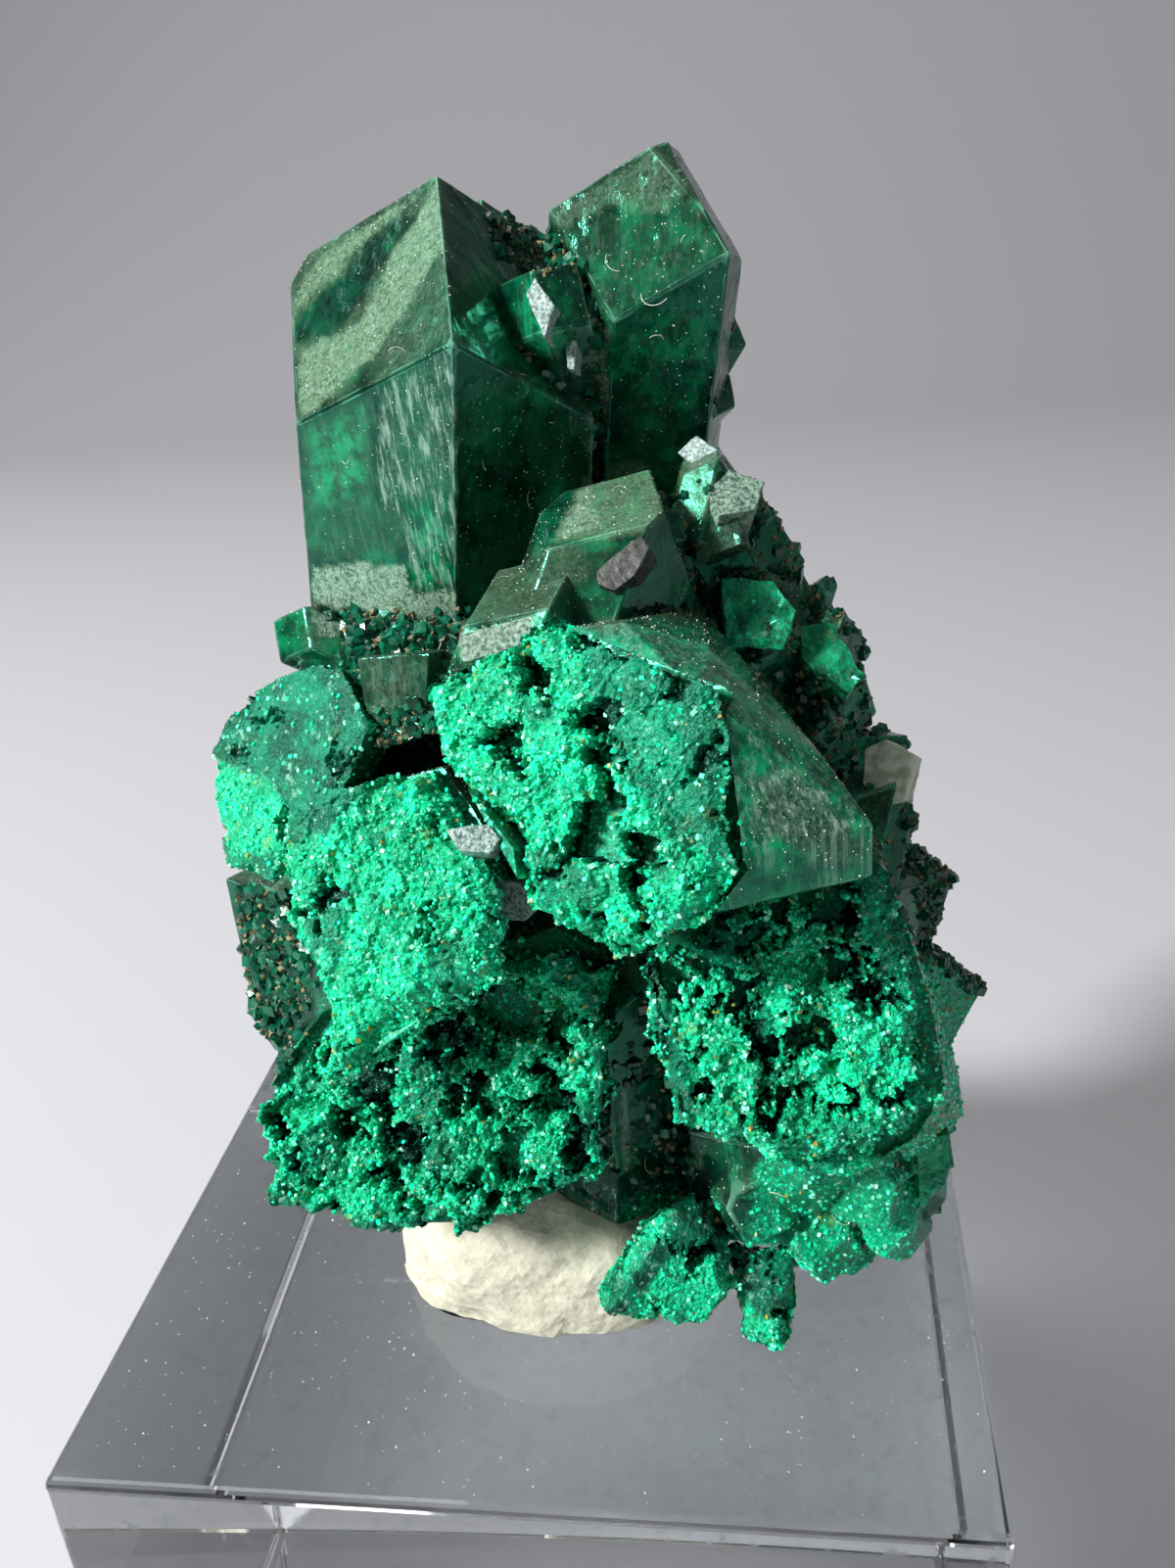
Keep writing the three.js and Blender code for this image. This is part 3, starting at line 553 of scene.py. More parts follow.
def new_group(name, inputs, outputs):
    tree = bpy.data.node_groups.new(name, "ShaderNodeTree")
    for label, kind, value in inputs:
        socket = tree.interface.new_socket(label, in_out="INPUT", socket_type=kind)
        socket.default_value = value
    for label, kind in outputs:
        tree.interface.new_socket(label, in_out="OUTPUT", socket_type=kind)
    return tree, tree.nodes.new("NodeGroupInput"), tree.nodes.new("NodeGroupOutput")


def grain(tree, size, low=0.4, high=0.6, shift=0.0, detail=4.0):
    node = put(tree, "ShaderNodeGroup", node_tree=GRAIN)
    for label, value in (("Size", size), ("Low", low), ("High", high), ("Shift", shift), ("Detail", detail)):
        node.inputs[label].default_value = value
    return node


def blend(tree, factor, first, second):
    """The colour between two colours"""
    node = put(tree, "ShaderNodeMix", data_type="RGBA")
    for socket, value in ((0, factor), (6, first), (7, second)):
        if isinstance(value, bpy.types.NodeSocket):
            tree.links.new(value, node.inputs[socket])
        else:
            node.inputs[socket].default_value = (*value, 1.0) if socket else value
    return node.outputs[2]


def sums(tree, operation, first, second, clamp=False):
    node = put(tree, "ShaderNodeMath", {0: first, 1: second}, operation=operation, use_clamp=clamp)
    return node.outputs[0]


def times(tree, first, second, clamp=False):
    return sums(tree, "MULTIPLY", first, second, clamp)


def plus(tree, first, second):
    return sums(tree, "ADD", first, second)


def attribute(tree, name):
    return put(tree, "ShaderNodeAttribute", attribute_name=name).outputs["Fac"]


def mask_of(tree, *settings, **more):
    """Only the mask of a grain"""
    return grain(tree, *settings, **more).outputs["Mask"]


def levels(tree, value, low=0.0, high=1.0, to_low=0.0, to_high=1.0, kind="LINEAR"):
    """A value stretched from one range into another"""
    node = put(tree, "ShaderNodeMapRange", {
        "Value": value, "From Min": low, "From Max": high, "To Min": to_low, "To Max": to_high},
        interpolation_type=kind)
    return node.outputs["Result"]


def grain_group():
    """Specks and patches: noise of a given size in millimetres, turned into a mask between two levels"""
    tree, start, end = new_group(
        "grain",
        [("Size", "NodeSocketFloat", 1.0), ("Low", "NodeSocketFloat", 0.4), ("High", "NodeSocketFloat", 0.6),
         ("Shift", "NodeSocketFloat", 0.0), ("Detail", "NodeSocketFloat", 4.0)],
        [("Mask", "NodeSocketFloat"), ("Height", "NodeSocketFloat")])
    place = put(tree, "ShaderNodeTexCoord")
    per_size = put(tree, "ShaderNodeMath", {0: 1.0 / MM, 1: start.outputs["Size"]}, operation="DIVIDE")
    cloud = put(tree, "ShaderNodeTexNoise", {
        "Vector": place.outputs["Object"], "W": start.outputs["Shift"], "Scale": per_size.outputs[0],
        "Detail": start.outputs["Detail"], "Roughness": 0.6}, noise_dimensions="4D")
    mask = levels(tree, cloud.outputs["Fac"], start.outputs["Low"], start.outputs["High"], kind="SMOOTHSTEP")
    tree.links.new(mask, end.inputs["Mask"])
    tree.links.new(cloud.outputs["Fac"], end.inputs["Height"])
    return tree


GRAIN = grain_group()


def new_material(name, **values):
    """A material whose plain numbers are set on the shader's own sockets"""
    material = bpy.data.materials.new(name)
    material.use_nodes = True
    tree = material.node_tree
    shader = tree.nodes["Principled BSDF"]
    for key, value in values.items():
        shader.inputs[key.replace("_", " ")].default_value = value
    return material, tree, shader


def carved(tree, shader, height, distance, strength=1.0):
    """Feeds a height in millimetres to the shader's normal"""
    bump = put(tree, "ShaderNodeBump", {"Height": height, "Distance": distance * MM, "Strength": strength})
    tree.links.new(bump.outputs["Normal"], shader.inputs["Normal"])


def coat(tree, shader, colour, roughness):
    """Joins a colour and a roughness to the shader"""
    tree.links.new(colour, shader.inputs["Base Color"])
    tree.links.new(roughness, shader.inputs["Roughness"])


def crust_colour(tree):
    """The bright sugary green of the etched parts, with pale specks that are partly paler grains and partly
    painted sparkle, and yellow stains
    """
    fine = grain(tree, 0.16, 0.36, 0.66, detail=3.0)
    pale_specks_and_sparkle = mask_of(tree, 0.09, 0.57, 0.70, 5.0, detail=2.0)
    patches = mask_of(tree, 2.2, 0.42, 0.60, 8.0)
    stains = times(tree, mask_of(tree, 1.1, 0.60, 0.72, 12.0), 0.6)
    green = blend(tree, patches, (0.001, 0.40, 0.17), (0.004, 0.95, 0.47))
    grainy = blend(tree, fine.outputs["Mask"], (0.001, 0.24, 0.10), green)
    # Pale specks: partly paler grains, partly painted sparkle
    spotted = blend(tree, pale_specks_and_sparkle, grainy, (0.25, 0.95, 0.65))
    return blend(tree, stains, spotted, (0.26, 0.32, 0.03)), fine


def clear_dioptase():
    """Clear emerald crystal, hazed, powdered or eaten away where its own attributes say, with painted glow
    and painted shade
    """
    material, tree, shader = new_material("clear_dioptase", Transmission_Weight=0.35, IOR=1.66)
    shader.inputs["Specular Tint"].default_value = (0.15, 0.95, 0.62, 1.0)
    dust, glow, pale, etched, crevice_shade, edge = (
        attribute(tree, name) for name in ("dust", "glow", "pale", "etched", "crevice_shade", "edge"))
    fine = grain(tree, 0.20, 0.38, 0.62)
    specks = mask_of(tree, 0.11, 0.42, 0.58, 6.0, detail=2.0)
    broad = mask_of(tree, 1.6, 0.4, 0.62, 3.0)
    veil = mask_of(tree, 0.8, 0.42, 0.60, 9.0, detail=9.0)
    edge_patches = mask_of(tree, 1.3, 0.44, 0.60, 18.0, detail=7.0)
    # Streaks drawn out along the spires, which lean 12 and 8 degrees: in the relief they are scratches, in
    # the colour partly scratches and partly painted highlights of fine ribs
    place = put(tree, "ShaderNodeTexCoord")
    upright = put(tree, "ShaderNodeMapping", {
        "Vector": place.outputs["Object"], "Rotation": (math.radians(12), math.radians(-8), 0.0),
        "Scale": (1.0, 1.0, 0.06)})
    streak = put(tree, "ShaderNodeTexNoise", {
        "Vector": upright.outputs["Vector"], "Scale": 5.0 / MM, "Detail": 4.0, "Roughness": 0.7})
    streaks = levels(tree, streak.outputs["Fac"], 0.45, 0.68, kind="SMOOTHSTEP")
    # Haze and powder, and the pale streaks; where the pale attribute is set high this paints a sheen
    hazy = times(tree, dust, sums(tree, "MULTIPLY_ADD", fine.outputs["Mask"], 0.55), clamp=True)
    dusted = times(tree, specks, times(tree, dust, 2.0, clamp=True))
    speckled = sums(tree, "MAXIMUM", dusted, times(tree, streaks, 0.85))
    powder_and_sheen = times(tree, plus(tree, pale, 0.05), speckled, clamp=True)
    # Colour, from the inside out
    clean = blend(tree, broad, (0.0004, 0.014, 0.008), (0.0007, 0.058, 0.029))
    # Painted glow: brighter green where the glow attribute is high, standing in for light seen through the
    # crystal
    glowing = times(tree, glow, plus(tree, veil, 0.12), clamp=True)
    lit = blend(tree, glowing, clean, (0.001, 0.34, 0.13))
    hazed = blend(tree, hazy, lit, (0.125, 0.23, 0.105))
    powder = blend(tree, powder_and_sheen, hazed, (0.38, 0.56, 0.45))
    # Painted shade: near-black green where the crevice attribute says the crystal is shut in
    shaded = blend(tree, crevice_shade, powder, (0.001, 0.012, 0.007))
    # Sharp edges lighter green, broken into patches: partly edge wear, partly a painted edge highlight
    ridge = levels(tree, edge, 0.70, 0.98, kind="SMOOTHSTEP")
    edge_wear_and_highlight = times(tree, times(tree, ridge, plus(tree, edge_patches, 0.12)), 0.65, clamp=True)
    rimmed = blend(tree, edge_wear_and_highlight, shaded, (0.20, 0.52, 0.36))
    mottled = times(tree, etched, plus(tree, fine.outputs["Mask"], 0.25), clamp=True)
    rougher = sums(tree, "MAXIMUM", hazy, etched)
    colour = blend(tree, mottled, rimmed, crust_colour(tree)[0])
    coat(tree, shader, colour, levels(tree, rougher, to_low=0.07, to_high=0.36))
    waves = plus(tree, grain(tree, 0.5, detail=6.0).outputs["Height"], streak.outputs["Fac"])
    carving = times(tree, fine.outputs["Height"], plus(tree, rougher, 0.12))
    carved(tree, shader, plus(tree, waves, carving), 0.05, 0.28)
    inner = put(tree, "ShaderNodeVolumeAbsorption", {"Color": (0.02, 0.8, 0.5, 1.0), "Density": 900.0})
    tree.links.new(inner.outputs["Volume"], tree.nodes["Material Output"].inputs["Volume"])
    return material


def etched_dioptase():
    """Bright sugary crust, with painted shade darkening its holes"""
    material, tree, shader = new_material(
        "etched_dioptase", Subsurface_Weight=0.08, Subsurface_Scale=0.5 * MM)
    shader.inputs["Specular Tint"].default_value = (0.30, 1.0, 0.75, 1.0)
    shader.inputs["Subsurface Radius"].default_value = (0.15, 1.0, 0.55)
    sunk, bare = attribute(tree, "sunk"), attribute(tree, "bare")
    sugary, fine = crust_colour(tree)
    cloud = mask_of(tree, 1.2, 0.4, 0.6, 15.0)
    scratches = times(tree, mask_of(tree, 0.35, 0.56, 0.66, 27.0, detail=9.0), 0.5)
    plain = blend(tree, cloud, (0.0007, 0.016, 0.010), (0.001, 0.13, 0.065))
    high = blend(tree, bare, sugary, blend(tree, scratches, plain, (0.30, 0.62, 0.45)))
    hole_shade = levels(tree, sunk, 0.10, 0.50, kind="SMOOTHSTEP")
    uneven = sums(tree, "SUBTRACT", fine.outputs["Height"], times(tree, bare, 0.4), clamp=True)
    # Painted shade: near black where the crust sinks into its holes
    colour = blend(tree, hole_shade, high, (0.0005, 0.006, 0.004))
    coat(tree, shader, colour, levels(tree, uneven, to_low=0.15, to_high=0.6))
    carved(tree, shader, fine.outputs["Height"], 0.12, 1.0)
    return material


def sugar_grains():
    """The loose-looking grains on the crust, each of its own green, a few pale or yellow"""
    material, tree, shader = new_material("sugar_grains", Subsurface_Weight=0.2, Subsurface_Scale=0.3 * MM)
    shader.inputs["Subsurface Radius"].default_value = (0.15, 1.0, 0.55)
    tone = attribute(tree, "tone")
    steps = put(tree, "ShaderNodeValToRGB", {"Fac": tone})
    ramp = steps.color_ramp.elements
    ramp[0].position, ramp[0].color = 0.0, (0.001, 0.22, 0.10, 1.0)
    ramp[1].position, ramp[1].color = 1.0, (0.45, 0.95, 0.70, 1.0)
    greens = ((0.25, (0.001, 0.58, 0.28)), (0.70, (0.01, 0.92, 0.50)), (0.88, (0.22, 0.92, 0.58)))
    yellows = ((0.90, (0.30, 0.34, 0.04)), (0.915, (0.22, 0.18, 0.04)), (0.92, (0.25, 0.9, 0.6)))
    for position, colour in greens + yellows:
        ramp.new(position).color = (*colour, 1.0)
    coat(tree, shader, steps.outputs["Color"], levels(tree, tone, to_low=0.38, to_high=0.12))
    carved(tree, shader, grain(tree, 0.1).outputs["Height"], 0.03)
    return material


ROUGHNESS_SPREAD = 0.12


def tinted(name, dark, pale, roughness, size=0.5, bump=0.05):
    """A plain finish between two colours, by its copies' own tone and a fine grain"""
    material, tree, shader = new_material(name)
    tone = attribute(tree, "tone")
    mottle = grain(tree, size, 0.35, 0.65)
    mixed = plus(tree, times(tree, tone, 0.6), times(tree, mottle.outputs["Mask"], 0.6))
    low, high = roughness - ROUGHNESS_SPREAD, roughness + ROUGHNESS_SPREAD
    spread = levels(tree, mottle.outputs["Height"], to_low=low, to_high=high)
    coat(tree, shader, blend(tree, mixed, dark, pale), spread)
    carved(tree, shader, mottle.outputs["Height"], bump)
    return material


def clear_acrylic():
    material, tree, shader = new_material("clear_acrylic", Transmission_Weight=1.0, IOR=1.49)
    scratches = mask_of(tree, 0.8, 0.52, 0.70, 4.0, detail=8.0)
    tint = blend(tree, scratches, (0.88, 0.90, 0.91), (0.72, 0.74, 0.76))
    coat(tree, shader, tint, levels(tree, scratches, to_low=0.02, to_high=0.16))
    return material


CLEAR = clear_dioptase()
ETCHED = etched_dioptase()
SUGAR = sugar_grains()
# Near-black druse: dark little crystals whose darkest tone also paints the shade of the gaps they fill
DRUSE = tinted("dark_druse", (0.0005, 0.006, 0.004), (0.002, 0.13, 0.065), 0.22)
BROWN = tinted("brown_matrix", (0.010, 0.016, 0.006), (0.24, 0.21, 0.09), 0.5)
DUST = tinted("pale_dust", (0.30, 0.36, 0.24), (0.80, 0.84, 0.74), 0.6)
# Painted sheen: a silvery pale colour standing in for light reflected off these faces
PAINTED_SHEEN = tinted("painted_sheen_face", (0.02, 0.10, 0.08), (0.66, 0.76, 0.73), 0.35, size=0.12)
# Painted light: a pale face standing in for a face brightly lit
PAINTED_LIT_FACE = tinted("painted_lit_face", (0.01, 0.07, 0.04), (0.45, 0.60, 0.48), 0.55, size=0.14)
STONE = tinted("brown_grey_face", (0.004, 0.010, 0.007), (0.085, 0.08, 0.07), 0.5, size=0.25)
LINT = tinted("lint", (0.62, 0.58, 0.42), (0.95, 0.93, 0.85), 0.6)
PUTTY = tinted("cream_putty", (0.50, 0.49, 0.37), (0.68, 0.67, 0.54), 0.75, size=0.5, bump=0.10)
ACRYLIC = clear_acrylic()


def scattered(carrier, shapes, per_area, sizes, seed, tilt=math.pi, sink=0.0):
    """Copies of small shapes over a carrier mesh, as many as its settle attribute asks for"""
    tree = bpy.data.node_groups.new("scatter", "GeometryNodeTree")
    tree.interface.new_socket("Geometry", in_out="INPUT", socket_type="NodeSocketGeometry")
    tree.interface.new_socket("Geometry", in_out="OUTPUT", socket_type="NodeSocketGeometry")
    kinds = bpy.data.collections.new("kinds")
    for shape in shapes:
        kinds.objects.link(object_of("kind", shape))
    start = tree.nodes.new("NodeGroupInput")
    settle = put(tree, "GeometryNodeInputNamedAttribute", {"Name": "settle"}, data_type="FLOAT")
    density = put(tree, "ShaderNodeMath", {0: settle.outputs["Attribute"], 1: per_area}, operation="MULTIPLY")
    spread = put(tree, "GeometryNodeDistributePointsOnFaces", {
        "Mesh": start.outputs[0], "Density": density.outputs[0], "Seed": seed})
    kind = put(tree, "GeometryNodeCollectionInfo", {
        "Collection": kinds, "Separate Children": True, "Reset Children": True})
    turn = put(tree, "FunctionNodeRandomValue", {
        0: (-tilt, -tilt, -math.pi), 1: (tilt, tilt, math.pi), "Seed": seed + 1}, data_type="FLOAT_VECTOR")
    rotation = put(tree, "FunctionNodeRotateRotation", {
        "Rotation": spread.outputs["Rotation"], "Rotate By": turn.outputs[0]}, rotation_space="LOCAL")
    size = put(tree, "FunctionNodeRandomValue", {
        2: sizes[0], 3: sizes[1], "Seed": seed + 2}, data_type="FLOAT")
    copies = put(tree, "GeometryNodeInstanceOnPoints", {
        "Points": spread.outputs["Points"], "Instance": kind.outputs[0], "Pick Instance": True,
        "Rotation": rotation.outputs[0], "Scale": size.outputs[1]})
    lowered = put(tree, "GeometryNodeTranslateInstances", {
        "Instances": copies.outputs[0], "Translation": (0.0, 0.0, -sink), "Local Space": True})
    tone = put(tree, "FunctionNodeRandomValue", {2: 0.0, 3: 1.0, "Seed": seed + 3}, data_type="FLOAT")
    toned = put(tree, "GeometryNodeStoreNamedAttribute", {
        "Geometry": lowered.outputs[0], "Name": "tone", "Value": tone.outputs[1]},
        data_type="FLOAT", domain="INSTANCE")
    real = put(tree, "GeometryNodeRealizeInstances", {"Geometry": toned.outputs[0]})
    end = tree.nodes.new("NodeGroupOutput")
    tree.links.new(real.outputs[0], end.inputs[0])
    shape = bpy.data.objects.new("carrier", carrier)
    bpy.context.scene.collection.objects.link(shape)
    shape.modifiers.new("scatter", "NODES").node_group = tree
    mesh = finished_mesh(shape)
    for spare in [*kinds.objects, shape]:
        bpy.data.objects.remove(spare)
    bpy.data.collections.remove(kinds)
    return mesh


def relief_at(face, x, y, reach, bare):
    """Height of an etched face above its plane, and how far down in a hole the spot is"""
    seed, strength = face["seed"], face["relief"]
    spot = Vector((x, y, seed))
    bent = spot + Vector((rough(spot, 0.9, 1.0, 3), rough(spot, 0.9, 5.0, 3), 0.0)) * 0.4
    height = rough(spot, 4.5, 2.0) * SWELL_HEIGHT * strength
    step = rough(bent, 2.3, 8.0, 3) * 3.2
    height += (math.floor(step) + smooth(0.35, 0.65, step - math.floor(step))) * TERRACE_STEP * strength
    lumps = noise.voronoi(bent / LUMP_SIZE + Vector((7, 3, 1)), distance_metric="DISTANCE")[0]
    height += (0.30 - lumps[0]) * LUMP_HEIGHT * strength
    height += abs(rough(bent, 0.5, 6.0, 2)) * WRINKLE_HEIGHT * strength
    torn = bent + Vector((rough(spot, 0.6, 21.0, 3), rough(spot, 0.6, 25.0, 3), 0.0)) * 0.45
    hole = smooth(0.36 - 0.36 * face["holes"], 0.52 - 0.30 * face["holes"], rough(torn, 1.7, 11.0, 3))
    for (px, py), width, tall in face["pits"]:
        dx, dy = (torn.x - px) / (width * 0.6), (torn.y - py) / (tall * 0.6)
        hole = max(hole, 1.0 - smooth(0.7, 1.1, math.hypot(dx, dy)))
    hole *= 1.0 - 0.8 * bare
    height -= (1.0 - smooth(0.0, RIM_WIDTH, reach)) * (RIM_DROP - 0.6 * bare)
    return height - hole * HOLE_DEPTH, hole


def crust(face):
    """The etched crust of one face: a fine sheet, eaten away, closed at its sides and back"""
    plane = FacePlane(face["corners"], face["rim"])
    face["pits"] = []
    for place, width, tall in PITS:
        x, y, z = plane.flat(Vector(place))
        if inside(plane.outline, x, y) and abs(z) < PIT_NEARNESS:
            face["pits"].append(((x, y), width, tall))
    xs = [x for x, _ in plane.outline]
    ys = [y for _, y in plane.outline]
    wide, high = max(xs) - min(xs) + 2 * SHEET_MARGIN, max(ys) - min(ys) + 2 * SHEET_MARGIN
    bm = bmesh.new()
    bmesh.ops.create_grid(
        bm, x_segments=int(wide / CRUST_GRID), y_segments=int(high / CRUST_GRID), size=0.5)
    centre = Vector(((max(xs) + min(xs)) / 2, (max(ys) + min(ys)) / 2, 0.0))
    bm.transform(Matrix.Translation(centre) @ Matrix.Diagonal((wide, high, 1.0, 1.0)))
    sunk = bm.verts.layers.float.new("sunk")
    settle = bm.verts.layers.float.new("settle")
    bare = bm.verts.layers.float.new("bare")
    outer = []
    for vert in bm.verts:
        spot = vert.co + Vector((0, 0, face["seed"]))
        reach = plane.reach(vert.co.x, vert.co.y) + face["overhang"]
        reach += (0.15 + 0.45 * face["relief"]) * rough(spot, 1.5, 4.0, 3)
        if reach <= 0.0:
            outer.append(vert)
            continue
        across, down = pixel_of(plane.matrix @ spot.xy.to_3d())
        across += MARK_WANDER * rough(spot, 1.1, 5.0, 3)
        for outline, amount in BARE_MARKS:
            if inside(outline, across, down):
                share = smooth(0.0, 2.0 * MARK_SOFTNESS, rim_distance(outline, across, down))
                vert[bare] = max(vert[bare], amount * share)
        vert[bare] = max(vert[bare], 0.7 * smooth(0.20, 0.55, rough(spot, 2.6, 17.0, 3)))
        height, hole = relief_at(face, vert.co.x, vert.co.y, reach, vert[bare])
        # How deep the spot lies, which the crust's material turns into painted shade
        vert[sunk] = max(hole, smooth(0.6, 2.0, -height))
        vert[settle] = (1.0 - 0.95 * vert[sunk]) * (1.0 - 0.9 * vert[bare])
        vert.co.z = height * (1.0 - 0.6 * vert[bare])
    bmesh.ops.delete(bm, geom=outer, context="VERTS")
    lone = [square for square in bm.faces if all(edge.is_boundary for edge in square.edges)]
    bmesh.ops.delete(bm, geom=lone, context="FACES")
    pinched = [vert for vert in bm.verts if vert.is_boundary
               and sum(edge.is_boundary for edge in vert.link_edges) != 2]
    bmesh.ops.delete(bm, geom=pinched, context="VERTS")
    bm.normal_update()
    grainy = []
    for vert in bm.verts:
        spot = vert.co + Vector((0, 0, face["seed"]))
        amount = GRAIN_HEIGHT * rough(spot, 0.15, 6.0, 1) + GRAIN_HEIGHT * rough(spot, 0.32, 7.0, 1)
        grainy.append(amount * (1.0 - 0.8 * vert[bare]))
    for vert, amount in zip(bm.verts, grainy):
        vert.co += vert.normal * amount
    border = [edge for edge in bm.edges if edge.is_boundary]
    for step in range(WALL_STEPS):
        walls = bmesh.ops.extrude_edge_only(bm, edges=border)["geom"]
        for vert in only(walls, bmesh.types.BMVert):
            outward = Vector((vert.co.x, vert.co.y, 0.0)).normalized()
            vert.co.z = vert.co.z * 0.6 - WALL_STEP * (step + 1) * 0.62
            vert.co += outward * (0.22 * face["relief"] * rough(vert.co, 0.7, 3.0, 3) - 0.07 * step)
            vert[sunk] = 0.05 * step
            lit_from_above = (plane.matrix.to_3x3() @ outward).z > 0.25
            vert[bare] = max(vert[bare], 0.9 if lit_from_above else 0.0)
            vert[settle] = 0.9 * (1.0 - vert[bare])
        border = [item for item in only(walls, bmesh.types.BMEdge) if item.is_boundary]
    for edge in border:
        for vert in edge.verts:
            vert.co.z = -CRUST_BACK
    bmesh.ops.holes_fill(bm, edges=border, sides=0)
    bmesh.ops.recalc_face_normals(bm, faces=bm.faces[:])
    bm.transform(plane.matrix)
    return bm


def tray(face):
    """The space that the crust fills, cut out of the clear body"""
    plane = FacePlane(face["corners"], face["rim"])
    bm = bmesh.new()
    wider = [Vector(point) * (1.0 + TRAY_MARGIN / Vector(point).length) for point in plane.outline]
    verts = [bm.verts.new((x, y, -TRAY_DEPTH)) for x, y in wider]
    sheet = bm.faces.new(verts)
    raised = bmesh.ops.extrude_face_region(bm, geom=[sheet])["geom"]
    for vert in only(raised, bmesh.types.BMVert):
        vert.co.z = TRAY_HEIGHT
    bmesh.ops.recalc_face_normals(bm, faces=bm.faces[:])
    bm.transform(plane.matrix)
    return bm


def clear_body():
    """All the clear crystals grown into one"""
    rows = SPIRES + SHOULDER + RIGHT_SLOPE + SLOPE_BODIES + LOW_FRONT + BACK
    shapes = [crystal(*row) for row in rows]
    shapes += [block(face["corners"]) for face in ETCHED_FACES.values()]
    shapes += [block(corners) for corners in PLAIN_BLOCKS]
    joined = fused(shapes[0], shapes[1:], "UNION")
    return fused(joined, [tray(face) for face in ETCHED_FACES.values()], "DIFFERENCE")


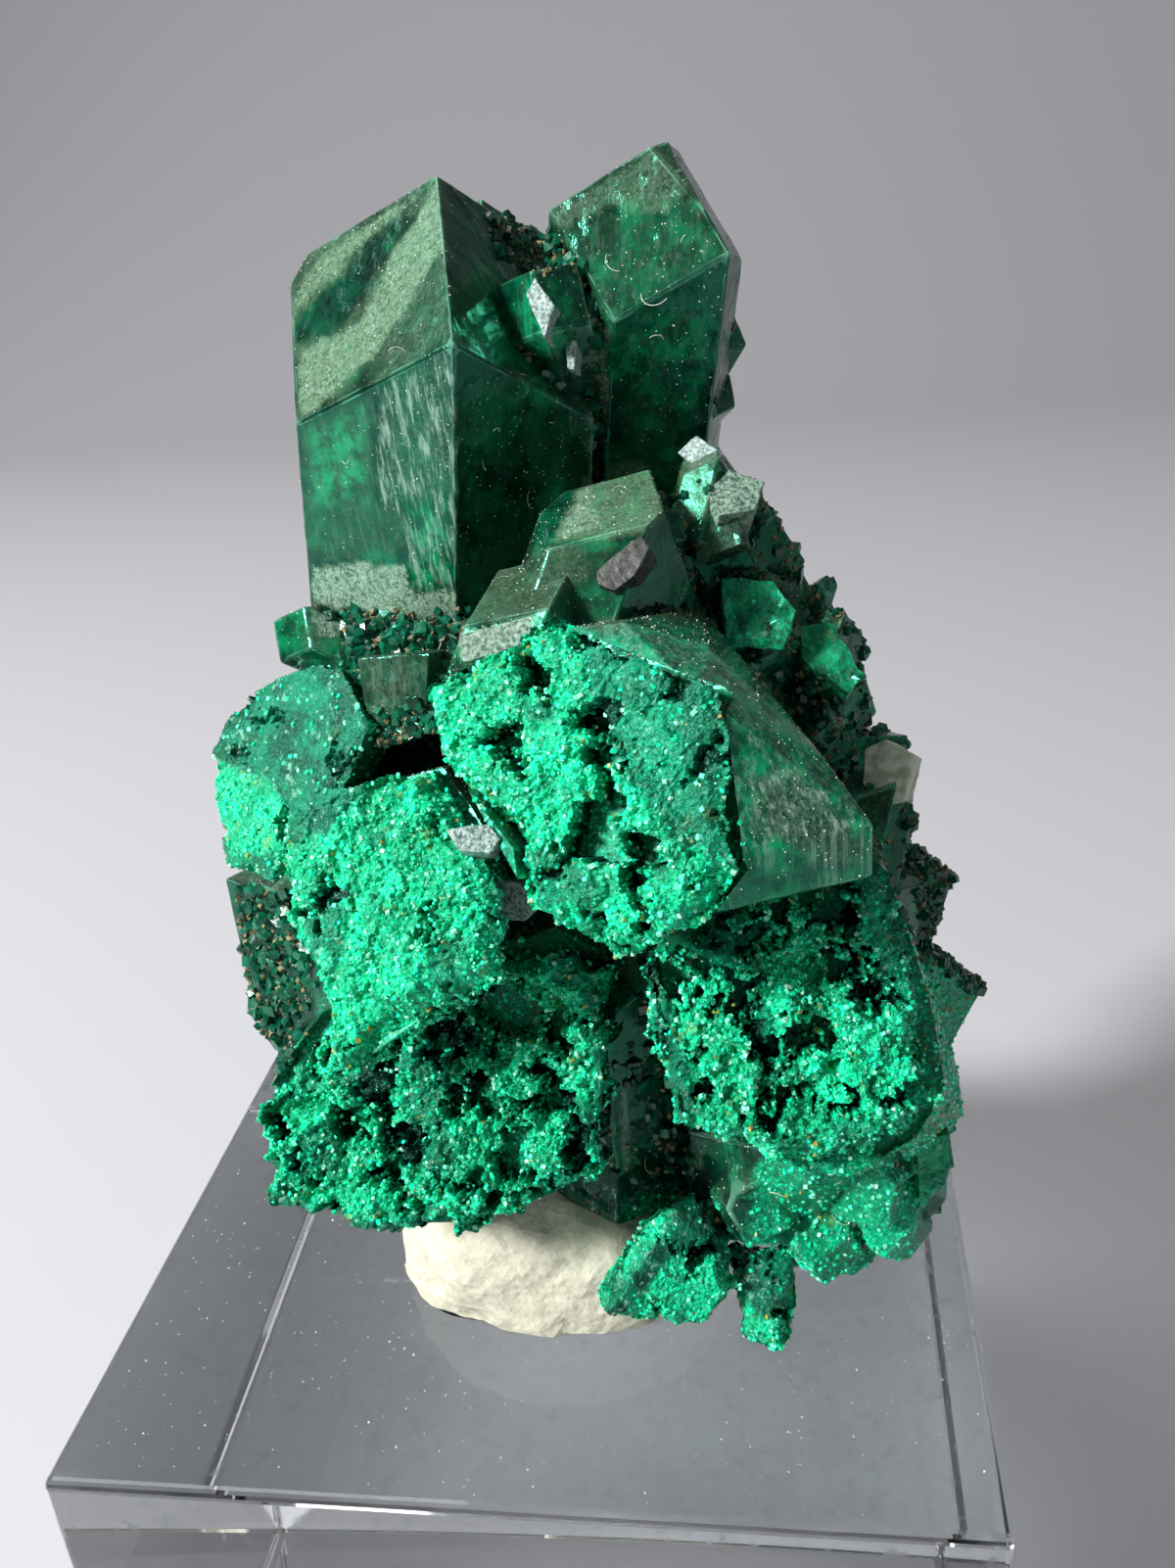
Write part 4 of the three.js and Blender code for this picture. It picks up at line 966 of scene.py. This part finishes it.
# Where the front faces are powdery, hazy, glowing or shaded: an outline in the photograph's frame, and what
# it holds. Dust is haze, pale is powder and, where it is set high, a painted sheen, settle is how many grains
# lie there, the crevice mark is painted shade, the glow mark is painted light from inside the crystal, and
# etched is sugary.
FACE_MARKS = [
    ([(299, 303), (328, 258), (440, 184), (424, 204), (344, 277), (299, 319)],
     dict(dust=0.9, pale=0.2, settle=1.0)),
    ([(446, 184), (455, 250), (414, 318), (385, 363), (306, 432), (302, 360), (363, 330), (407, 245)],
     dict(dust=0.9, pale=0.3, settle=1.2)),
    ([(425, 204), (405, 245), (360, 325), (302, 355), (300, 322), (345, 280)],
     dict(dust=0.0, pale=0.0, settle=0.05, glow=0.0)),
    ([(455, 250), (463, 345), (395, 385), (385, 363), (414, 318)],
     dict(dust=0.2, pale=0.15, settle=0.4, glow=0.3)),
    ([(302, 437), (385, 395), (385, 520), (312, 560)], dict(dust=0.12, glow=0.9, pale=0.1, settle=0.3)),
    ([(385, 395), (465, 352), (468, 530), (385, 520)], dict(dust=0.05, pale=1.0, settle=0.7, glow=0.15)),
    ([(310, 500), (468, 530), (400, 570), (315, 580)], dict(dust=0.1, glow=0.1, pale=0.1, settle=0.3)),
    ([(410, 510), (468, 500), (468, 612), (410, 612)], dict(dust=0.0, pale=0.8, settle=0.4, glow=0.9)),
    ([(316, 578), (376, 575), (414, 575), (425, 605), (468, 600), (468, 650), (322, 650)],
     dict(dust=1.0, pale=1.0, settle=1.2)),
    ([(470, 360), (600, 420), (595, 560), (472, 560)], dict(dust=0.0, pale=0.0, settle=0.5, glow=0.2)),
    ([(460, 185), (495, 210), (600, 415), (468, 355)], dict(dust=0.0, pale=0.0, settle=0.04, glow=0.35)),
    ([(553, 220), (670, 146), (708, 190), (675, 222), (625, 215), (575, 240)],
     dict(dust=0.35, pale=0.2, settle=0.8)),
    ([(560, 240), (625, 215), (675, 222), (708, 190), (750, 263), (620, 331)],
     dict(dust=0.08, pale=0.10, settle=0.6, glow=0.35)),
    ([(600, 320), (624, 334), (622, 470), (600, 470)], dict(dust=0.5, pale=0.6, settle=1.0)),
    ([(626, 335), (750, 266), (722, 430), (640, 470)], dict(dust=0.0, pale=0.05, settle=0.35, glow=0.4)),
    ([(515, 275), (600, 275), (600, 385), (530, 360)], dict(dust=0.0, pale=0.05, glow=0.9, crevice_shade=0.0)),
    ([(688, 476), (732, 476), (738, 530), (696, 534)], dict(dust=0.9, pale=0.1, glow=0.2, crevice_shade=0.3)),
    ([(605, 478), (662, 468), (683, 530), (640, 550), (560, 555)],
     dict(dust=0.6, pale=0.15, settle=0.8, glow=0.5)),
    ([(560, 555), (600, 485), (620, 540)], dict(dust=0.9, pale=0.5, settle=1.2)),
    ([(470, 635), (500, 600), (590, 562), (603, 590), (555, 625)],
     dict(dust=0.35, pale=0.1, settle=0.5, crevice_shade=0.0)),
    ([(468, 645), (553, 625), (548, 650), (470, 676)], dict(dust=1.0, pale=0.9, settle=1.4)),
    ([(350, 618), (462, 632), (462, 690), (385, 700), (348, 680)], dict(dust=0.3, pale=0.0, crevice_shade=1.0)),
    ([(360, 685), (460, 680), (458, 775), (365, 775)],
     dict(dust=0.25, pale=0.15, settle=0.8, glow=0.0, etched=0.0, crevice_shade=0.85)),
    ([(440, 690), (560, 640), (700, 640), (760, 720), (640, 700), (590, 655), (480, 730), (440, 720)],
     dict(dust=0.05, glow=0.5, pale=0.1)),
    ([(640, 625), (730, 630), (820, 730), (920, 860), (880, 915), (770, 890), (700, 800), (620, 700)],
     dict(dust=0.0, pale=0.5, settle=0.5, glow=0.9, etched=0.15, crevice_shade=0.0)),
    ([(760, 790), (820, 780), (905, 880), (850, 890), (770, 850)],
     dict(dust=0.1, pale=0.9, settle=0.8, glow=0.0, etched=0.0)),
    ([(495, 215), (560, 225), (600, 275), (540, 280), (500, 262)], dict(crevice_shade=0.8, dust=0.0)),
    ([(240, 895), (325, 920), (322, 1000), (300, 1095), (250, 1090)], dict(crevice_shade=0.9, dust=0.2)),
    ([(705, 1160), (735, 1160), (735, 1245), (705, 1240)], dict(dust=0.0, glow=0.0, pale=0.0)),
    ([(735, 1150), (764, 1155), (764, 1250), (738, 1245)], dict(dust=0.0, glow=1.0, pale=0.1, crevice_shade=0.0)),
    ([(764, 1160), (890, 1190), (880, 1290), (770, 1280)], dict(dust=0.1, glow=0.25, pale=0.0)),
    ([(880, 1140), (985, 1090), (985, 1220), (890, 1290)], dict(dust=0.1, glow=0.7, pale=0.1)),
    ([(770, 1180), (860, 1170), (950, 1200), (930, 1300), (840, 1330), (760, 1290)],
     dict(dust=0.0, pale=0.0, glow=1.0, etched=0.95)),
    ([(590, 1000), (660, 1000), (715, 1160), (700, 1245), (590, 1245)],
     dict(dust=0.0, glow=0.0, pale=0.05, crevice_shade=0.55)),
    ([(632, 1095), (648, 1095), (645, 1190), (630, 1190)], dict(dust=0.4, pale=0.6, crevice_shade=0.0)),
    ([(925, 820), (975, 850), (1012, 1010), (985, 1095), (940, 960)], dict(crevice_shade=0.85, dust=0.2)),
    ([(930, 960), (1000, 1010), (1000, 1200), (925, 1200), (915, 1060)],
     dict(crevice_shade=0.3, etched=0.85, dust=0.3)),
]
# Where the crust gives way to smooth dark green, and how far
BARE_MARKS = [
    ([(205, 670), (378, 670), (378, 800), (335, 860), (300, 850), (270, 800), (205, 775)], 0.9),
    ([(575, 630), (700, 640), (790, 770), (760, 900), (690, 860), (640, 800), (600, 720)], 0.75),
    ([(860, 880), (925, 880), (945, 1000), (930, 1070), (880, 960)], 0.7),
    ([(645, 975), (676, 975), (722, 1140), (690, 1150)], 0.85),
    ([(592, 1005), (622, 1005), (622, 1210), (602, 1200)], 0.85),
    ([(262, 1205), (330, 1235), (480, 1255), (470, 1280), (262, 1250)], 0.8),
    ([(610, 1345), (690, 1230), (745, 1230), (725, 1280), (685, 1292), (655, 1335), (625, 1360)], 0.95),
    ([(745, 1270), (820, 1280), (805, 1340), (775, 1352), (750, 1320)], 0.95),
]
# In pixels: how softly marks and glows begin, and how far their outlines wander
MARK_SOFTNESS = 5.0
GLOW_SOFTNESS = 26.0
MARK_WANDER = 4.0


SKY_RAYS = [direction(turn, tilt) for turn, tilt in (
    (0, 15), (45, 45), (135, 45), (225, 45), (315, 45), (0, 70), (90, 70), (180, 70), (270, 70))]
CREVICE_REACH = 3.5


def crevices(bm):
    """How shut in each vertex is by what stands round it, from 0 to 1"""
    tree = BVHTree.FromBMesh(bm)
    shut = []
    for vert in bm.verts:
        turned = vert.normal.to_track_quat("Z", "Y")
        start = vert.co + vert.normal * 0.05
        blocked = 0.0
        for ray in SKY_RAYS:
            distance = tree.ray_cast(start, turned @ ray, CREVICE_REACH)[3]
            if distance is not None:
                blocked += 1.0 - 0.5 * distance / CREVICE_REACH
        shut.append(blocked / len(SKY_RAYS))
    return shut


def etched_share(place, planes):
    """How near a point is to the rim of an etched face, from 0 to 1"""
    share = 0.0
    for plane in planes:
        x, y, z = plane.flat(place)
        if -4.0 < z < 1.5:
            ragged = 1.1 * rough(place, 1.6, 4.0, 3)
            share = max(share, smooth(-1.6, -0.2, plane.reach(x, y) + 0.45 * min(z, 0.0) + ragged))
    return share


def build_specimen():
    body = clear_body()
    split_long_edges(body, LONGEST_EDGE, LONGEST_SEEN_EDGE)
    body.normal_update()
    names = ("dust", "glow", "pale", "settle", "etched", "crevice_shade", "edge")
    for label in names:
        body.verts.layers.float.new(label)
    layers = {label: body.verts.layers.float[label] for label in names}
    dust, glow, pale, settle, etched, crevice_shade, ridge = layers.values()
    planes = [FacePlane(face["corners"], face["rim"]) for face in ETCHED_FACES.values()]
    for vert, shut in zip(body.verts, crevices(body)):
        up = vert.normal.z
        patch = rough(vert.co, 2.4, 3.0, 3)
        vert[dust] = 0.45 * smooth(0.2, 1.0, up + 0.45 * patch)
        vert[pale] = 0.15 * smooth(0.3, 0.9, up + 0.5 * patch)
        vert[settle] = 0.15 + 0.5 * smooth(0.1, 0.8, up + 0.3 * patch)
        # Painted glow: random patches of brighter green, as light inside the crystal
        vert[glow] = 0.6 * smooth(0.10, 0.6, rough(vert.co, 3.0, 8.0, 2))
        # Painted shade: how shut in the vertex is becomes dark colour in the crystal
        vert[crevice_shade] = smooth(0.25, 0.75, shut + 0.12 * patch)
        vert[etched] = etched_share(vert.co, planes)
        # Sharp edges, which the material lightens as edge wear and painted edge highlight
        sharp = any(edge.calc_face_angle_signed(0.0) > 0.2 for edge in vert.link_edges)
        vert[ridge] = float(sharp) * (1.0 - vert[etched])
        if vert.normal.dot(CAMERA_PLACE - vert.co) > 0:
            across, down = pixel_of(vert.co)
            across += MARK_WANDER * rough(vert.co, 1.1, 5.0, 3)
            down += MARK_WANDER * rough(vert.co, 1.1, 9.0, 3)
            for outline, marks in FACE_MARKS:
                if inside(outline, across, down):
                    hole_shade = rim_distance(outline, across, down)
                    for label, value in marks.items():
                        layer = layers[label]
                        softness = GLOW_SOFTNESS if label == "glow" else MARK_SOFTNESS
                        vert[layer] += (value - vert[layer]) * smooth(0.0, softness, hole_shade)
    for vert in body.verts:
        lumps = 0.25 * smooth(0.6, 0.95, vert[crevice_shade]) * rough(vert.co, 0.9, 6.0, 3)
        vert.co += vert.normal * (0.03 * rough(vert.co, 0.8, 2.0) + lumps)
    mesh = mesh_of("clear_crystals", body)
    carrier = mesh.copy()
    place_piece("clear_crystals", mesh, CLEAR)
    for name, face in ETCHED_FACES.items():
        crust_mesh = mesh_of(name, crust(face))
        sugar = scattered(crust_mesh.copy(), [crumb()], SUGAR_AMOUNT, SUGAR_SIZES, 31)
        place_piece("etched_crust_" + name, crust_mesh, ETCHED)
        place_piece("sugar_grains_" + name, sugar, SUGAR)
    return carrier


def crumb():
    """A tiny leaning rhomb, one unit across"""
    bm = bmesh.new()
    bmesh.ops.create_cube(bm, size=0.8)
    for vert in bm.verts:
        vert.co.x += 0.3 * vert.co.z
        vert.co.y -= 0.2 * vert.co.z
    return bm


def small_crystal(sides, ends):
    """A stubby little prism with the same three end faces, one unit across"""
    return crystal(tip=(0, 0, 0.75), lean=0, toward=0, spin=ends, sides=sides, length=1.1, wear=0)


def shut_in(carrier, low, high):
    """A copy of the carrier whose settle attribute is high only in its crevices"""
    mesh = carrier.copy()
    wanted = mesh.attributes["settle"].data
    for i, item in enumerate(mesh.attributes["crevice_shade"].data):
        place = mesh.vertices[i].co
        # The right slope below the spires has more of it
        slope = smooth(7.5, 10.5, place.x) * smooth(12.0, 20.0, place.z) * (1.0 - smooth(34.0, 38.0, place.z))
        slope *= smooth(-10.5, -8.0, place.y)
        share = smooth(low, high, item.value + 0.5 * slope + 0.25 * rough(place, 1.8, 6.0, 3))
        wanted[i].value = share * (1.0 - mesh.attributes["etched"].data[i].value)
    return mesh


def build_druse(carrier):
    """The dark little crystals and brown grains that fill the gaps; the dark crystals also paint the gaps'
    shade
    """
    kinds = [small_crystal([0.42], 10), small_crystal([0.42, 0.3, 0.36], 40), crumb()]
    dark = scattered(
        shut_in(carrier, 0.35, 0.9), kinds, DRUSE_AMOUNT, DRUSE_SIZES, 51, tilt=DRUSE_TILT, sink=DRUSE_SINK)
    place_piece("dark_druse", dark, DRUSE)
    eaten = carrier.copy()
    for i, item in enumerate(eaten.attributes["settle"].data):
        item.value = smooth(0.55, 0.95, eaten.attributes["etched"].data[i].value)
    body_sugar = scattered(eaten, [crumb()], BODY_SUGAR_AMOUNT, SUGAR_SIZES, 71)
    place_piece("sugar_grains_body", body_sugar, SUGAR)
    brown = scattered(shut_in(carrier, 0.40, 0.95), [crumb()], BROWN_AMOUNT, BROWN_SIZES, 61)
    place_piece("brown_grains", brown, BROWN)


def flake():
    """A tiny three-sided grain, one unit across"""
    bm = bmesh.new()
    bmesh.ops.create_cone(bm, cap_ends=True, segments=3, radius1=0.5, radius2=0.0, depth=0.8)
    return bm


def build_dust(carrier):
    grains = scattered(carrier, [flake()], DUST_AMOUNT, DUST_SIZES, 5)
    place_piece("dust_grains", grains, DUST)


# Small flat crystal faces that catch the light, by their outline in the photograph's frame. The silvery ones
# carry a painted sheen, the pale ones a painted lit face, the white one a white crust painted brighter as a
# highlight, and the green ones painted glow.
FACETS = [
    ([(691, 462), (711, 444), (739, 464), (722, 485)], (-0.3, -0.75, 0.6), 1.2, "silver"),
    ([(609, 583), (626, 568), (655, 547), (664, 559), (648, 588), (628, 603), (611, 597)],
     (-0.1, -0.8, 0.6), 1.0, "brown"),
    ([(455, 847), (499, 841), (511, 856), (501, 871), (470, 869)], (0.1, -0.8, 0.6), 0.8, "silver"),
    ([(508, 898), (531, 901), (549, 925), (535, 941), (511, 938)], (0.0, -0.9, 0.4), 0.8, "silver"),
    ([(722, 500), (744, 480), (781, 492), (771, 520), (735, 526)], (0.2, -0.6, 0.75), 1.0, "pale"),
    ([(702, 520), (750, 507), (758, 555), (712, 573)], (-0.2, -0.9, 0.4), 1.0, "dark"),
    ([(884, 765), (905, 754), (933, 770), (923, 816), (900, 826), (881, 800)],
     (-0.3, -0.8, 0.5), 1.0, "white"),
    ([(737, 590), (790, 592), (812, 625), (800, 664), (742, 660)], (0.1, -0.9, 0.4), 1.0, "green"),
    ([(816, 640), (850, 634), (882, 690), (868, 708), (818, 672)], (0.1, -0.85, 0.5), 1.0, "green"),
    ([(537, 300), (546, 283), (566, 312), (556, 346)], (-0.1, -0.9, 0.4), 0.6, "silver"),
    ([(578, 350), (588, 347), (587, 378), (579, 376)], (-0.1, -0.9, 0.4), 0.5, "silver"),
    ([(469, 648), (553, 626), (549, 652), (505, 668), (472, 677)], (0.0, -0.8, 0.6), 1.0, "pale"),
    ([(936, 1165), (972, 1158), (966, 1210), (940, 1236)], (0.2, -0.95, 0.1), 0.8, "green"),
    ([(364, 672), (438, 668), (434, 748), (392, 766), (376, 740)], (-0.15, -0.95, 0.2), 1.0, "dark"),
]


def facet(outline, facing, thickness, surface):
    """A small slab whose front shows exactly that outline, set in whatever lies behind it"""
    middle = [sum(values) / len(outline) for values in zip(*outline)]
    ray = ray_through(*middle)
    hits = [surface.ray_cast(CAMERA_PLACE, ray_through(*spot))[3] for spot in [middle, *outline]]
    normal = Vector(facing).normalized()
    near = sorted(hit for hit in hits if hit is not None)[1]
    front = CAMERA_PLACE + ray * (near - FACET_STAND)
    bm = bmesh.new()
    corners = []
    for across, down in outline:
        way = ray_through(across, down)
        far = (front - CAMERA_PLACE).dot(normal) / way.dot(normal)
        corners.append(bm.verts.new(CAMERA_PLACE + way * far))
    sheet = bm.faces.new(corners)
    back = bmesh.ops.extrude_face_region(bm, geom=[sheet])["geom"]
    bmesh.ops.translate(bm, verts=only(back, bmesh.types.BMVert), vec=-normal * (thickness + FACET_ROOT))
    bmesh.ops.recalc_face_normals(bm, faces=bm.faces[:])
    worn_edges(bm, FACET_WEAR)
    return bm


def build_facets(surface):
    finishes = dict(silver=PAINTED_SHEEN, white=DUST, pale=PAINTED_LIT_FACE, brown=STONE, green=CLEAR, dark=CLEAR)
    for finish, material in finishes.items():
        joined = bmesh.new()
        for outline, facing, thickness, wanted in FACETS:
            if wanted == finish:
                joined.from_mesh(mesh_of("part", facet(outline, facing, thickness, surface)))
        split_long_edges(joined, LONGEST_FACET_EDGE, LONGEST_FACET_EDGE)
        bright = finish == "green"
        amounts = dict(glow=0.1, dust=0.2, pale=0.2, etched=0.0)
        # Painted glow: the green facets get strong glow, as light seen through the crystal
        if bright:
            amounts.update(glow=1.1, dust=0.05, etched=0.55)
        for label, amount in amounts.items():
            layer = joined.verts.layers.float.new(label)
            for vert in joined.verts:
                vert[layer] = max(0.0, amount * (1.0 + rough(vert.co, 0.9, 4.0, 3)))
        joined.normal_update()
        for vert in joined.verts:
            vert.co += vert.normal * ((0.16 if bright else 0.05) * rough(vert.co, 0.7, 2.0, 3))
        place_piece(finish + "_facets", mesh_of("facets", joined), material)


LINT_PLACES = [
    (509, 440, 1.3), (655, 300, 0.7), (677, 345, 0.6), (700, 240, 0.5), (620, 260, 0.5), (560, 430, 0.6),
    (492, 470, 0.6), (540, 500, 0.5), (415, 360, 0.5), (350, 470, 0.6), (590, 520, 0.7), (640, 500, 0.5),
    (520, 590, 0.8), (560, 600, 0.6), (610, 690, 0.8), (660, 680, 0.6), (700, 730, 0.8), (745, 770, 0.7),
    (780, 820, 0.8), (430, 660, 0.5), (400, 720, 0.5), (480, 760, 0.6), (640, 1100, 0.7), (660, 1180, 0.6),
    (620, 1210, 0.5), (800, 1220, 0.8), (850, 1240, 0.6), (900, 1200, 0.6), (760, 560, 0.6), (800, 640, 0.6),
    (500, 1290, 0.7), (560, 1310, 0.6), (620, 1290, 0.6), (460, 1280, 0.5), (330, 720, 0.5), (300, 760, 0.6),
]


def build_lint(surface):
    """Curled fibres of lint, lying on the faces"""
    draw = random.Random(12)
    joined = bmesh.new()
    for across, down, radius in LINT_PLACES:
        hit, normal, _, _ = surface.ray_cast(CAMERA_PLACE, ray_through(across, down))
        if hit is None:
            continue
        radius *= draw.uniform(0.3, 1.0)
        bm = bmesh.new()
        bmesh.ops.create_circle(bm, cap_ends=False, segments=5, radius=draw.uniform(*LINT_THICKNESS))
        bm.transform(Matrix.Translation((radius, 0, 0)) @ Matrix.Rotation(math.pi / 2, 4, "X"))
        bmesh.ops.spin(
            bm, geom=bm.edges[:], cent=(0, 0, 0), axis=(0, 0, 1), dvec=(0, 0, draw.uniform(-0.01, 0.03)),
            angle=draw.uniform(0.8, 3.6), steps=16, use_merge=False)
        bmesh.ops.holes_fill(bm, edges=[edge for edge in bm.edges if edge.is_boundary], sides=0)
        bmesh.ops.recalc_face_normals(bm, faces=bm.faces[:])
        lean = Vector((draw.uniform(-0.5, 0.5), draw.uniform(-0.5, 0.5), 1.0)).to_track_quat("Z", "Y")
        stand = normal.to_track_quat("Z", "Y") @ Quaternion((0, 0, 1), draw.uniform(0, 6.3)) @ lean
        bm.transform(Matrix.Translation(hit + normal * LINT_LIFT) @ stand.to_matrix().to_4x4()
                     @ Matrix.Translation((-radius, 0, 0)))
        joined.from_mesh(mesh_of("part", bm))
    place_piece("lint_fibres", mesh_of("lint", joined), LINT)


def build_putty():
    """The lump of putty, pressed down by fingers between the block and the crystals"""
    low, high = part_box("putty_lump")
    low, high = low / MM - Vector((0, 0, BLOCK_TOP)), high / MM - Vector((0, 0, BLOCK_TOP))
    middle = (low + high) / 2
    bm = bmesh.new()
    bmesh.ops.create_icosphere(bm, subdivisions=6, radius=1.0)
    for vert in bm.verts:
        total = sum(abs(value) ** PUTTY_SQUARENESS for value in vert.co)
        vert.co *= 1.0 / total ** (1 / PUTTY_SQUARENESS)
    size = Vector((high.x - low.x, high.y - low.y, PUTTY_HEIGHT)) / 2
    bm.transform(Matrix.Translation((middle.x, middle.y, PUTTY_MIDDLE)) @ Matrix.Diagonal((*size, 1.0)))
    bm.normal_update()
    for vert in bm.verts:
        folds = sum(height * rough(vert.co, size, seed) for height, size, seed in PUTTY_FOLDS)
        vert.co += vert.normal * folds
        vert.co.z = max(vert.co.z, PUTTY_FOOT)
    place_piece("putty", mesh_of("putty", bm), PUTTY, "putty_lump")


def build_block():
    """The polished block, with its edges lightly broken"""
    bm = bmesh.new()
    bmesh.ops.create_cube(bm, size=1.0)
    size = (BLOCK_HIGH - BLOCK_LOW) / MM
    bm.transform(Matrix.Diagonal((*size, 1.0)))
    bm.transform(Matrix.Translation((0.0, 0.0, -size.z / 2)))
    bmesh.ops.bevel(
        bm, geom=bm.edges[:], offset=BLOCK_BEVEL, offset_type="OFFSET", segments=4, profile=0.5,
        affect="EDGES", clamp_overlap=True, material=-1)
    place_piece("display_block", mesh_of("block", bm), ACRYLIC, "acrylic_block")
    top = bmesh.new()
    bmesh.ops.create_grid(top, x_segments=1, y_segments=1, size=BLOCK_WIDTH / 2 - DUSTLESS_MARGIN)
    settle = top.verts.layers.float.new("settle")
    for vert in top.verts:
        vert[settle] = 1.0
    specks = scattered(mesh_of("top", top), [flake()], BLOCK_DUST_AMOUNT, BLOCK_DUST_SIZES, 81)
    place_piece("block_dust", specks, DUST, "acrylic_block")


def build_stage():
    """A plain pale floor that rises behind the object in one smooth sweep"""
    bm = bmesh.new()
    start = [bm.verts.new((side, FLOOR_FRONT, 0.0)) for side in (-FLOOR_SIDE, FLOOR_SIDE)]
    edge = bm.edges.new(start)
    flat = bmesh.ops.extrude_edge_only(bm, edges=[edge])["geom"]
    far = only(flat, bmesh.types.BMVert)
    bmesh.ops.translate(bm, verts=far, vec=(0.0, FLOOR_DEPTH, 0.0))
    rim = [item for item in only(flat, bmesh.types.BMEdge) if all(vert in far for vert in item.verts)]
    bend = bmesh.ops.spin(
        bm, geom=rim, cent=(0.0, FLOOR_BEND, FLOOR_BEND), axis=(1.0, 0.0, 0.0),
        angle=math.radians(FLOOR_BEND_TURN), steps=24, use_merge=False)["geom_last"]
    top = bmesh.ops.extrude_edge_only(bm, edges=only(bend, bmesh.types.BMEdge))["geom"]
    bmesh.ops.translate(bm, verts=only(top, bmesh.types.BMVert), vec=(0.0, 0.0, FLOOR_RISE))
    bmesh.ops.recalc_face_normals(bm, faces=bm.faces[:])
    mesh = mesh_of("floor", bm)
    for face in mesh.polygons:
        face.use_smooth = True
    floor = bpy.data.objects.new("floor", mesh)
    bpy.context.scene.collection.objects.link(floor)
    material, _, shader = new_material("pale_floor", Roughness=0.8)
    shader.inputs["Base Color"].default_value = (0.47, 0.47, 0.49, 1.0)
    mesh.materials.append(material)


def light(name, place, size, power):
    """A soft square light aimed at the middle of the specimen"""
    lamp = bpy.data.lights.new(name, "AREA")
    lamp.size = size
    lamp.energy = power
    piece = bpy.data.objects.new(name, lamp)
    target = TO_ROW @ SPECIMEN_MIDDLE
    piece.location = Vector(place)
    piece.rotation_euler = (target - piece.location).to_track_quat("-Z", "Y").to_euler()
    bpy.context.scene.collection.objects.link(piece)


def build_lights():
    for name, (place, size, power) in LIGHTS.items():
        light(name, place, size, power)
    world = bpy.data.worlds.new("studio")
    bpy.context.scene.world = world
    world.use_nodes = True
    sky = world.node_tree.nodes["Background"]
    sky.inputs["Color"].default_value = (0.82, 0.83, 0.86, 1.0)
    sky.inputs["Strength"].default_value = 0.14


def build_camera():
    lens = bpy.data.cameras.new("camera")
    lens.lens = CAMERA_LENS
    lens.sensor_width = CAMERA_SENSOR
    lens.sensor_fit = "AUTO"
    lens.clip_start = 0.001
    camera = bpy.data.objects.new("camera", lens)
    turned = Matrix((RIGHT, UP, -FORWARD)).transposed().to_4x4()
    camera.matrix_world = Matrix.Translation(TO_ROW @ CAMERA_PLACE) @ turned
    bpy.context.scene.collection.objects.link(camera)
    bpy.context.scene.camera = camera


build_camera()
build_lights()
bpy.context.scene.view_settings.view_transform = "Standard"
build_stage()
carrier_mesh = build_specimen()
build_dust(carrier_mesh)
build_druse(carrier_mesh)
crystal_surface = ray_tree(carrier_mesh)
build_facets(crystal_surface)
build_lint(crystal_surface)
build_putty()
build_block()
